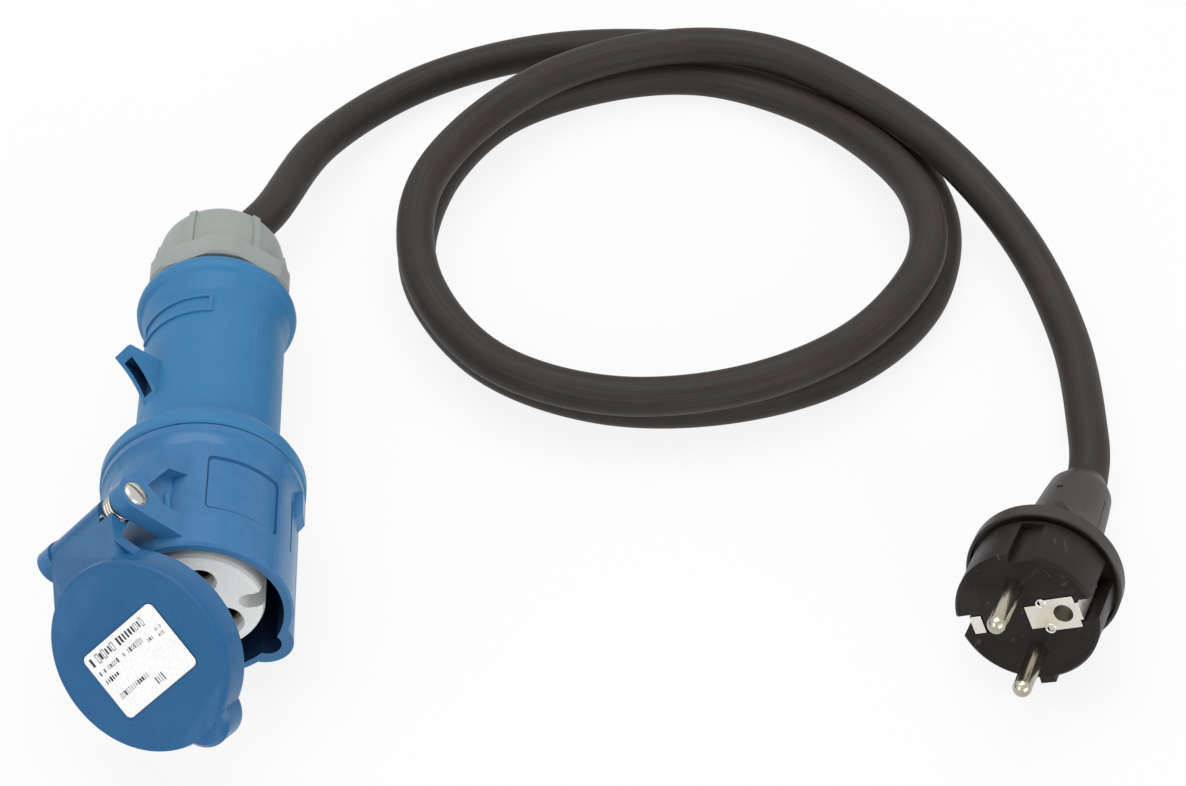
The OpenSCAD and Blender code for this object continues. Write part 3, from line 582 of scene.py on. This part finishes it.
def worn_and_highlit_edges_group():
    """Where an outer edge is paler, partly from wear and partly as a painted highlight, as a mask broken up
    by noise.
    """
    tree, n, given, out = shader_group(
        "worn_and_highlit_edges", [("Size", "value", 300), ("Amount", "value", 0.5)], [("Mask", "value")])
    geometry = n.add("ShaderNodeNewGeometry").outputs
    where = n.add("ShaderNodeTexCoord").outputs["Object"]
    edge = n.spread(geometry["Pointiness"], 0.515, 0.58)
    broken = n.spread(n.noise(where, given["Size"], detail=4.0, rough=0.6), 0.3, 0.7, to_low=0.35)
    n.put(out["Mask"], n.math("MULTIPLY", n.math("MULTIPLY", edge, broken), given["Amount"]))
    return tree


MOULDED = moulded_skin_group()
SCRATCHES = fine_scratches_group()
WEAR_AND_HIGHLIGHT = worn_and_highlit_edges_group()


def placed_group(n, tree, **values):
    node = n.add("ShaderNodeGroup", node_tree=tree)
    for label, value in values.items():
        n.put(node.inputs[label.replace("_", " ")], value)
    return node.outputs


# Finishes: each takes two tones that it wanders between
def colour(tone):
    """A display colour from 0 to 255, as the linear value that a shader takes."""
    def linear(c):
        c /= 255
        return c / 12.92 if c <= 0.04045 else ((c + 0.055) / 1.055) ** 2.4
    return tuple(linear(c) for c in tone) + (1,)


SCRATCH_TONE = (150, 148, 146)
SCRATCH_SIZE = 420
WEAR_AND_HIGHLIGHT_SIZE = 260
DRAWN_TONE = (92, 86, 81)
DRAWN_LINES = (22.0, 90.0, 1.0)
SKIN_DEPTH = 0.12
METAL_DEPTH = 0.05
METAL_CLOUDS = 140
METAL_GRAIN = 900


def new_material(name, display):
    material = bpy.data.materials.new(name)
    material.use_nodes = True
    material.diffuse_color = display
    n = Nodes(material.node_tree)
    return material, n, material.node_tree.nodes["Principled BSDF"]


def bumped(n, shader, height, strength, distance):
    bump = n.first("ShaderNodeBump", {"Height": height, "Strength": strength, "Distance": distance * MM})
    n.put(shader.inputs["Normal"], bump)


def moulded(name, main, second, rough, grain=2600, patch=55, bump=0.1, shine=0.3,
            scratch=0.0, wear_and_highlight=0.0, pale=None):
    """A moulded finish: skin, then scratches, then outer edges made paler, partly wear and partly painted
    highlight.
    """
    main, second = colour(main), colour(second)
    material, n, shader = new_material(name, main)
    skin = placed_group(n, MOULDED, Colour=main, Second_colour=second, Grain_size=grain, Patch_size=patch,
                        Patch_amount=0.6, Roughness=rough, Roughness_spread=0.12)
    tone = skin["Colour"]
    if scratch:
        mask = placed_group(n, SCRATCHES, Size=SCRATCH_SIZE, Amount=scratch)["Mask"]
        tone = n.mixed(mask, tone, colour(SCRATCH_TONE))
    # Paler outer edges: partly wear, partly a painted highlight
    if wear_and_highlight:
        mask = placed_group(n, WEAR_AND_HIGHLIGHT, Size=WEAR_AND_HIGHLIGHT_SIZE, Amount=wear_and_highlight)["Mask"]
        tone = n.mixed(mask, tone, colour(pale))
    n.put(shader.inputs["Base Color"], tone)
    n.put(shader.inputs["Roughness"], skin["Roughness"])
    shader.inputs["Specular IOR Level"].default_value = shine
    bumped(n, shader, skin["Height"], bump, SKIN_DEPTH)
    return material


def sheath(name, main, second):
    """Cable rubber: faint drawn lines along the cable, with dusty patches."""
    main, second = colour(main), colour(second)
    material, n, shader = new_material(name, main)
    skin = placed_group(n, MOULDED, Colour=main, Second_colour=second, Grain_size=2200, Patch_size=70,
                        Patch_amount=0.7, Roughness=0.52, Roughness_spread=0.16)
    along = n.first("ShaderNodeUVMap", uv_map="along")
    drawn = n.first("ShaderNodeMapping", {"Vector": along, "Scale": DRAWN_LINES})
    lines = n.noise(drawn, 1.0, detail=3.0, rough=0.6)
    streaks = n.spread(lines, 0.45, 0.75, to_high=0.22)
    n.put(shader.inputs["Base Color"], n.mixed(streaks, skin["Colour"], colour(DRAWN_TONE)))
    n.put(shader.inputs["Roughness"], skin["Roughness"])
    shader.inputs["Specular IOR Level"].default_value = 0.2
    bumped(n, shader, n.math("ADD", skin["Height"], lines), 0.14, SKIN_DEPTH)
    return material


def metal(name, main, second, rough, stretch=(1, 1, 1)):
    """A metal finish: fine streaks in its roughness and clouds in its tone."""
    main, second = colour(main), colour(second)
    material, n, shader = new_material(name, main)
    where = n.add("ShaderNodeTexCoord").outputs["Object"]
    lay = n.first("ShaderNodeMapping", {"Vector": where, "Scale": stretch})
    streaks = n.noise(lay, METAL_GRAIN, detail=4.0, rough=0.65)
    clouds = n.noise(where, METAL_CLOUDS, detail=3.0)
    n.put(shader.inputs["Base Color"], n.mixed(n.spread(clouds, 0.3, 0.7), main, second))
    n.put(shader.inputs["Roughness"], n.spread(streaks, 0.25, 0.75, to_low=rough * 0.7, to_high=rough * 1.4))
    shader.inputs["Metallic"].default_value = 1.0
    bumped(n, shader, streaks, 0.06, METAL_DEPTH)
    return material


# Paler tones for outer edges, partly wear and partly painted highlight
PALE_BLUE = (120, 168, 206)
PALE_BLACK = (104, 98, 94)
PALE_GREY = (196, 200, 197)
FINISH = {
    "blue_front": moulded("blue_front_plastic", (40, 104, 154), (44, 108, 157), 0.3, bump=0.05,
                          wear_and_highlight=0.12, pale=PALE_BLUE, shine=0.32),
    # Painted shade: the lid is the front's blue plastic made darker, for the shade on its face
    "shaded_blue_lid": moulded("blue_plastic_shaded_for_lid", (31, 91, 139), (35, 95, 143), 0.28, bump=0.04,
                        wear_and_highlight=0.12, pale=PALE_BLUE, shine=0.22),
    "blue_grip": moulded("blue_grip_plastic", (52, 117, 164), (58, 122, 168), 0.44, grain=1900, bump=0.14,
                         wear_and_highlight=0.12, pale=PALE_BLUE, shine=0.22),
    # Painted shade: a dark blue for the faces of deep hollows, where shade falls
    "painted_shade_blue": moulded("painted_shade_blue_plastic", (24, 48, 80), (28, 54, 88), 0.5, bump=0.05, shine=0.1),
    "grey": moulded("grey_nut_plastic", (147, 154, 150), (155, 161, 157), 0.42, bump=0.08,
                    wear_and_highlight=0.15, pale=PALE_GREY),
    "pale": moulded("pale_insert_plastic", (246, 247, 245), (250, 250, 249), 0.4, bump=0.05),
    "rubber": sheath("cable_sheath_rubber", (42, 36, 33), (52, 46, 42)),
    "plug_face": moulded("plug_front_plastic", (32, 27, 26), (39, 33, 32), 0.4, patch=90, bump=0.06,
                         scratch=0.22, wear_and_highlight=0.1, pale=PALE_BLACK, shine=0.12),
    "plug_grip": moulded("plug_shell_rubber", (46, 41, 38), (55, 50, 46), 0.4, bump=0.09),
    "seal": moulded("seal_rubber", (30, 28, 28), (40, 38, 38), 0.6, bump=0.15),
    "label": moulded("label_film", (248, 249, 248), (251, 252, 251), 0.38, grain=1500, bump=0.02),
    "print": moulded("label_print", (62, 62, 66), (76, 76, 80), 0.5, bump=0.02, shine=0.1),
    "line": moulded("shadow_line", (20, 52, 82), (26, 60, 92), 0.6, bump=0.02),
    "soft_line": moulded("soft_shadow_line", (30, 80, 124), (34, 84, 128), 0.6, bump=0.02, shine=0.1),
    "nickel": metal("nickel_pin", (184, 179, 163), (170, 164, 146), 0.2, stretch=(0.35, 0.35, 0.35)),
    "strip": metal("plated_strip", (222, 220, 212), (208, 205, 194), 0.34),
    "zinc": metal("zinc_steel", (204, 204, 200), (186, 184, 178), 0.26),
    "spring": metal("spring_wire", (196, 190, 182), (166, 158, 146), 0.24),
    "brass": metal("contact_brass", (164, 142, 104), (146, 124, 88), 0.3),
    "brown": moulded("brown_core", (108, 62, 36), (122, 74, 44), 0.45),
    "core_blue": moulded("blue_core", (38, 92, 168), (50, 106, 180), 0.45),
    "core_green": moulded("green_core", (110, 150, 46), (190, 190, 60), 0.45, patch=180),
}


def coat(piece, finish):
    piece.data.materials.clear()
    piece.data.materials.append(FINISH[finish])


def dress(piece, finish, body):
    """A finish for a piece of the scene, and the body that it rides on."""
    coat(piece, finish)
    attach(piece, body)


# Solids that keep their shape get a better finish
KEPT = {
    "housing_seal": "seal", "lid_gasket": "seal", "gland_seal": "seal", "gland_clamp": "pale",
    "contact_holders": "pale", "live_contact": "brass", "neutral_contact": "brass", "earth_contact": "brass",
    "terminal_screws": "zinc", "plug_cord_clamp": "zinc",
    "plug_live_pin": "nickel", "plug_neutral_pin": "nickel",
    "live_core": "brown", "plug_live_core": "brown",
    "neutral_core": "core_blue", "plug_neutral_core": "core_blue",
    "earth_core": "core_green", "plug_earth_core": "core_green",
    "lid_label": "label", "hinge_pin": "zinc", "plug_screw": "zinc",
}
for node, finish in KEPT.items():
    coat(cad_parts[node], finish)

# Solids that are shown with their edges rounded off: node, piece, finish, rounding, slot and body
ROUNDED = [
    ("front_housing", "coupler_front", "blue_front", 0.5, "blue_plastic", "adapter"),
    ("handle", "coupler_handle", "blue_grip", 0.5, "blue_plastic", "adapter"),
    ("lid", "coupler_lid", "shaded_blue_lid", 0.4, "blue_plastic", "lid"),
    ("gland_nut", "gland_cap", "grey", 0.4, "grey_plastic", "adapter"),
    ("contact_insert", "socket_insert", "pale", 0.35, "pale_plastic", "adapter"),
    ("plug_front", "plug_nose", "plug_face", 0.35, "plug_plastic", "adapter"),
    ("plug_shell", "plug_grip", "plug_grip", 0.4, "plug_rubber", "adapter"),
    ("plug_earth_strap", "plug_strap", "strip", 0.12, "strap_steel", "adapter"),
]
DISH_BALL = 8
DISH_FLOOR_R = 9.35
DISH_ANGLE = 80
DISH_Z = SHELL_Z - 13.8
DISH_RINGS = 24
DISH_STEPS = 64


def dish_tool():
    """A ball that takes the shallow dish out of the grip beside the collar."""
    turns = [math.pi * i / DISH_RINGS for i in range(1, DISH_RINGS)]
    ball = [(DISH_BALL * math.sin(a), -DISH_BALL * math.cos(a)) for a in turns]
    place = PLUG @ turned(DISH_ANGLE, "Z") @ moved(DISH_FLOOR_R + DISH_BALL, 0, DISH_Z)
    return lathe("dish_tool", place, [(0, -DISH_BALL)] + ball + [(0, DISH_BALL)], DISH_STEPS)


shown = {}
for node, name, finish, width, slot_name, body in ROUNDED:
    piece = copy_of(node, name)
    if node == "plug_shell":
        cut(piece, dish_tool())
    rounded(piece, width)
    dress(piece, finish, body)
    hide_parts(node)
    shown[name] = piece

# Painted shade: the deep hollows, which are the mouth, its key groove and the hook's pocket, get a darker
# blue that stands in for the shade that falls in them
MOUTH_SHADE_FROM = 1.2
MOUTH_SHADE_TO = FRONT_L - 4
WALL_REACH = 0.6
WALL_FACING = 0.4
KEY_MIDDLE = turned(KEY_TURN, "Z") @ Vector((0, -KEY_AT, 0))
POCKET_HALF = 1.75
POCKET_R = TUBE_R + 0.3
POCKET_FRONT = JOINT_Z - 22
POCKET_BACK = JOINT_Z - 36


def paint_shade_on(piece, inside):
    """The faces that an inside test picks, by their corners and their way out, get a darker blue that is
    painted shade.
    """
    piece.data.materials.append(FINISH["painted_shade_blue"])
    back = COUPLER.inverted()
    spots = [back @ v.co / MM for v in piece.data.vertices]
    for face in piece.data.polygons:
        corners = [spots[i] for i in face.vertices]
        if inside(corners, back.to_3x3() @ face.normal):
            face.material_index = 1


def in_mouth(corners, way):
    """Faces of the mouth's wall and of the key groove's, which look towards their own middle."""
    spot = sum(corners, Vector()) / len(corners)
    if not MOUTH_SHADE_FROM < -spot.z < MOUTH_SHADE_TO:
        return False
    for middle, r in ((Vector(), MOUTH_R), (KEY_MIDDLE, KEY_R)):
        out = (spot - middle).xy
        if out.length < r + WALL_REACH and out.dot(way.xy) < -WALL_FACING * out.length:
            return True
    return False


def in_pocket(corners, way):
    """Faces that lie wholly inside the hook's pocket, whichever way they look."""
    across = max(abs(c.x) for c in corners) < POCKET_HALF
    above = min(c.y for c in corners) > POCKET_R
    return across and above and all(POCKET_BACK < c.z < POCKET_FRONT for c in corners)


paint_shade_on(shown["coupler_front"], in_mouth)
paint_shade_on(shown["coupler_handle"], in_pocket)

dress(cable, "rubber", "adapter")
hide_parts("cable")
on_cable = [shown["plug_nose"], shown["plug_grip"], shown["plug_strap"]]
on_cable += [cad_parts[n] for n in KEPT if n.startswith("plug_")]

# The wire spring on the hinge pin
SPRING_TURNS = 3.5
TURN_STEPS = 20
WIRE_R = 0.5
WIRE_SIDES = 12
COIL_GAP = 0.4
COIL_R = PIN_R + WIRE_R + COIL_GAP
SPRING_ROOM = 5
LEG_L = 3.6
LEG_BEND = 0.4
coil_first = HINGE_SHIFT + ARM_HALF - SPRING_ROOM + WIRE_R + COIL_GAP
coil_length = SPRING_ROOM - 2 * WIRE_R - 2 * COIL_GAP
coil_count = int(SPRING_TURNS * TURN_STEPS)
coil = []
for i in range(coil_count + 1):
    a = math.pi / 2 + 2 * math.pi * i / TURN_STEPS
    x = coil_first + coil_length * i / coil_count
    coil.append(at(COUPLER, x, HINGE_Y + COIL_R * math.cos(a), HINGE_Z + COIL_R * math.sin(a)))
leg = COUPLER.to_3x3() @ Vector((0, LEG_L * MM, 0))
wire = [coil[0] + leg, coil[0] + leg * LEG_BEND] + coil + [coil[-1] + leg * LEG_BEND, coil[-1] + leg]
spring = bead("hinge_spring", wire, "spring", WIRE_R, WIRE_SIDES)
dress(spring, "spring", "adapter")
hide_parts("lid_spring")

# The domed and slotted end of the hinge pin
LUG_OUTSIDE = HINGE_SHIFT + HINGE_SPAN / 2
HEAD_R = PIN_R + 0.7
HEAD_BASE = LUG_OUTSIDE - 1
HEAD_RISE = 1.9
HEAD_TOP = HEAD_BASE + HEAD_RISE
HEAD_STEPS = 48
SLOT_LIE = Vector((-0.81, 0.41))
SLOT_HALF_L = 5
SLOT_HALF_W = 0.45
SLOT_DEPTH = 0.8
SLOT_OVER = 1
PIN_ROUNDING = 0.12
dome = [(0, HEAD_BASE), (HEAD_R, HEAD_BASE), (HEAD_R, HEAD_BASE + HEAD_RISE / 2)]
dome += [(HEAD_R * math.cos(a), HEAD_BASE + HEAD_RISE * (1 + math.sin(a)) / 2) for a in (0.4, 0.8, 1.2)]
dome += [(0, HEAD_TOP)]
pin_end = lathe("hinge_pin_end", HINGE @ turned(90, "Y"), dome, HEAD_STEPS)
slot_across = Vector((-SLOT_LIE.y, SLOT_LIE.x))
slot_outline = []
for i, j in ((1, 1), (-1, 1), (-1, -1), (1, -1)):
    corner = SLOT_LIE * i * SLOT_HALF_L + slot_across * j * SLOT_HALF_W
    slot_outline.append((HINGE_Y + corner.x, HINGE_Z + corner.y))
slot_tool = hinge_plate("slot_tool", slot_outline, HEAD_TOP - SLOT_DEPTH, HEAD_TOP + SLOT_OVER)
rounded(cut(pin_end, slot_tool), PIN_ROUNDING, segments=2)
dress(pin_end, "zinc", "adapter")

# Beads that the mould leaves: the parting line of the handle and a peg in the lug's recess
PARTING_R = TUBE_R - 0.1
PARTING_Z = (REAR_Z + 9, REAR_Z + 30, JOINT_Z - 17)
PARTING_BEAD = 0.24
RECESS_X = LUG_OUTSIDE - LUG_T + 1.6
PEG_LINE = ((20.9, -16), (20.5, -13.2), (20.2, -10.6))
PEG_R = 0.9
parting = [around(COUPLER, 0, PARTING_R, z) for z in PARTING_Z]
peg = [at(COUPLER, RECESS_X, y, z) for y, z in PEG_LINE]
mould_beads = joined("mould_beads", [
    bead("parting_bead", parting, "blue_grip", PARTING_BEAD),
    bead("lug_peg", peg, "blue_grip", PEG_R, THICK_SIDES),
])
dress(mould_beads, "blue_grip", "adapter")

CORNER_STEPS = 6


def round_cornered(width, height, corner, side_steps=1):
    """The outline of a rectangle with round corners, as flat pairs about its middle."""
    points = []
    for sx, sy, first in ((1, 1, 0), (-1, 1, 90), (-1, -1, 180), (1, -1, 270)):
        for i in range(CORNER_STEPS + 1):
            a = first + 90 * i / CORNER_STEPS
            x = sx * (width / 2 - corner) + corner * cos_of(a)
            y = sy * (height / 2 - corner) + corner * sin_of(a)
            points.append(Vector((x, y)))
    outline = []
    for i, here in enumerate(points):
        there = points[(i + 1) % len(points)]
        cuts = side_steps if (there - here).length > corner else 1
        outline += [here.lerp(there, j / cuts) for j in range(cuts)]
    return outline


# A painted shadow line that shows where the panel steps down from the barrel
PANEL_STEP = 0.5
PANEL_LINE = 0.14
PANEL_SIDE_STEPS = 12
panel_place = COUPLER @ turned((PANEL_FROM + PANEL_TO) / 2, "Z") @ moved(0, 0, -PANEL_FRONT - PANEL_L / 2)
panel_r = BARREL_R - PANEL_DEPTH
panel_w = 2 * BARREL_R * sin_of((PANEL_TO - PANEL_FROM) / 2) - 2 * PANEL_STEP
panel_outline = round_cornered(panel_w, PANEL_L - 2 * PANEL_STEP, PANEL_CORNER, PANEL_SIDE_STEPS)
panel_points = [at(panel_place, math.sqrt(panel_r ** 2 - p.x ** 2), p.x, p.y) for p in panel_outline]
panel_shadow_line = bead("panel_shadow_line", panel_points, "soft_line", PANEL_LINE, closed=True)
dress(panel_shadow_line, "soft_line", "adapter")

# The label: a thin painted shadow line round it, where its recess is in shade, and rows of marks in place of
# words
LABEL_GAP = 0.05
LABEL_LINE = 0.16
LABEL_TOP = LID_FRONT + LABEL_T
MARK_T = 0.08
label_outline = round_cornered(LABEL_W + 2 * LABEL_GAP, LABEL_H + 2 * LABEL_GAP, LABEL_CORNER + LABEL_GAP)
label_points = [at(LID, p.x, LABEL_Y + p.y, LID_FRONT + LABEL_GAP) for p in label_outline]
label_shadow_line = bead("label_shadow_line", label_points, "line", LABEL_LINE, closed=True)
dress(label_shadow_line, "line", "lid")

# Each row: left end, height on the label, marks, step, mark height, shortest mark, seed
MARK_ROWS = [
    (-11.6, 6.0, 18, 1.15, 2.5, 0.38, 3),
    (-11.7, 2.7, 20, 0.85, 1.3, 0.25, 5),
    (-11.7, 0.2, 6, 0.85, 1.3, 0.25, 8),
    (-11.7, -4.6, 14, 0.85, 1.4, 0.25, 13),
    (6.2, 1.5, 3, 0.7, 0.9, 0.25, 21),
    (9.4, 2.4, 4, 0.7, 0.9, 0.25, 30),
    (9.8, 0.8, 3, 0.7, 0.9, 0.25, 34),
    (0.6, -7.2, 5, 0.8, 2.2, 0.2, 55),
]
rows = []
for left, height, count, step, tall, shortest, seed in MARK_ROWS:
    row = grown("mark_row", MARKS, [(0, 0, 0)], "print", Count=count, Step=step * MM, Height=tall * MM,
                Thickness=MARK_T * MM, Shortest=shortest, Seed=seed)
    row.data.transform(LID @ moved(left, height, LABEL_TOP))
    rows.append(row)
dress(joined("label_marks", rows), "print", "lid")

# Eyelets on the plug's strap
EYELET_AT = ((5.2, 3.6), (5.4, -3.8))
EYELET_R = 1.15
EYELET_WIRE_R = 0.28
eyelet_points = [Vector((x, y, STRAP_FACE)) * MM for x, y in EYELET_AT]
eyelets = grown("strap_eyelets", EYELETS, eyelet_points, "strip", chained=False,
                Ring_radius=EYELET_R * MM, Wire_radius=EYELET_WIRE_R * MM)
eyelets.data.transform(PLUG)
dress(eyelets, "strip", "adapter")

# Dark lines on the plug's grip: the parting line, and a slit and a vent, whose dark beads are painted shade
# for the inside of these openings
SEAM_ANGLE = 6
SEAM_SUNK = 0.06
SEAM_LINE = 0.16
SEAM_PROFILE = [
    (GRIP_R + 0.9, SHELL_Z - 3.4), (GRIP_R, SHELL_Z - 5), (GRIP_R - 2, SHELL_Z - 0.4 * GRIP_L),
    (WAIST_R + 0.6, SHELL_Z - 0.72 * GRIP_L),
]
SLIT_Z = -47.8
SLIT_R = 9.65
SLIT_ANGLES = (83.8, 88.5, 93.2)
SLIT_LINE = 0.32
VENT_ANGLE = 60
VENT_Z = -35
VENT_DEPTHS = (10, 11)
VENT_R = 0.6
seam = [around(PLUG, SEAM_ANGLE, r - SEAM_SUNK, z) for r, z in SEAM_PROFILE]
slit = [around(PLUG, angle, SLIT_R, SLIT_Z) for angle in SLIT_ANGLES]
vent = [around(PLUG, VENT_ANGLE, r, VENT_Z) for r in VENT_DEPTHS]
grip_lines = joined("grip_lines", [
    bead("grip_seam", seam, "seal", SEAM_LINE),
    bead("grip_slit", slit, "seal", SLIT_LINE),
    bead("grip_vent", vent, "seal", VENT_R, THICK_SIDES),
])
dress(grip_lines, "seal", "adapter")
on_cable += [eyelets, grip_lines]

# Light, floor and backdrop, in metres and watts
MIDDLE = Vector((0.11, 0.05, 0.0))
ROOM_LIGHT = 0.42
FLOOR_SIZE = 4
FLOOR_Z = -0.0003
FLOOR_TONE = (0.86, 0.86, 0.86, 1)
FLOOR_GLOW = 0.86
WHITE = (1, 1, 1, 1)


def softbox(name, place, width, depth, power):
    light = bpy.data.lights.new(name, "AREA")
    light.shape = "RECTANGLE"
    light.size = width
    light.size_y = depth
    light.energy = power
    lamp = linked(name, light)
    lamp.location = place
    lamp.rotation_euler = (MIDDLE - Vector(place)).to_track_quat("-Z", "Y").to_euler()


def white_room():
    """A world that is white where it is seen or mirrored, and lights the object at a plain level."""
    world = bpy.data.worlds.new("white_room")
    world.use_nodes = True
    n = Nodes(world.node_tree)
    paths = n.add("ShaderNodeLightPath").outputs
    direct = n.math("MAXIMUM", paths["Is Camera Ray"], paths["Is Glossy Ray"])
    seen = n.math("MAXIMUM", direct, paths["Is Transmission Ray"])
    backdrop = world.node_tree.nodes["Background"]
    backdrop.inputs["Color"].default_value = WHITE
    n.put(backdrop.inputs["Strength"], n.spread(seen, 0.0, 1.0, to_low=ROOM_LIGHT))
    return world


def floor_finish():
    """White where it is seen or mirrored, but for a share that takes the object's shadow."""
    material = bpy.data.materials.new("white_floor")
    material.use_nodes = True
    n = Nodes(material.node_tree)
    n.tree.nodes.remove(n.tree.nodes["Principled BSDF"])
    paths = n.add("ShaderNodeLightPath").outputs
    seen = n.math("MAXIMUM", paths["Is Camera Ray"], paths["Is Glossy Ray"])
    matte = n.first("ShaderNodeBsdfDiffuse", {"Color": FLOOR_TONE})
    glow = n.first("ShaderNodeEmission", {"Color": WHITE, "Strength": 1.0})
    blend = n.first("ShaderNodeMixShader", {0: n.math("MULTIPLY", seen, FLOOR_GLOW), 1: matte, 2: glow})
    n.put(n.tree.nodes["Material Output"].inputs["Surface"], blend)
    return material


def white_floor():
    bm = bmesh.new()
    bmesh.ops.create_grid(bm, x_segments=1, y_segments=1, size=FLOOR_SIZE)
    bmesh.ops.translate(bm, verts=bm.verts, vec=(0, 0, FLOOR_Z))
    floor = from_bmesh("white_floor", bm)
    floor.data.materials.append(floor_finish())
    return floor


softbox("top_softbox", (0.0, 0.35, 1.25), 1.3, 1.0, 11)
softbox("left_softbox", (-0.95, -0.9, 0.8), 0.7, 0.9, 5)
softbox("front_softbox", (0.9, -1.1, 0.45), 1.0, 0.6, 8)
bpy.context.scene.world = white_room()
floor = white_floor()

bpy.context.scene.view_settings.view_transform = "Standard"
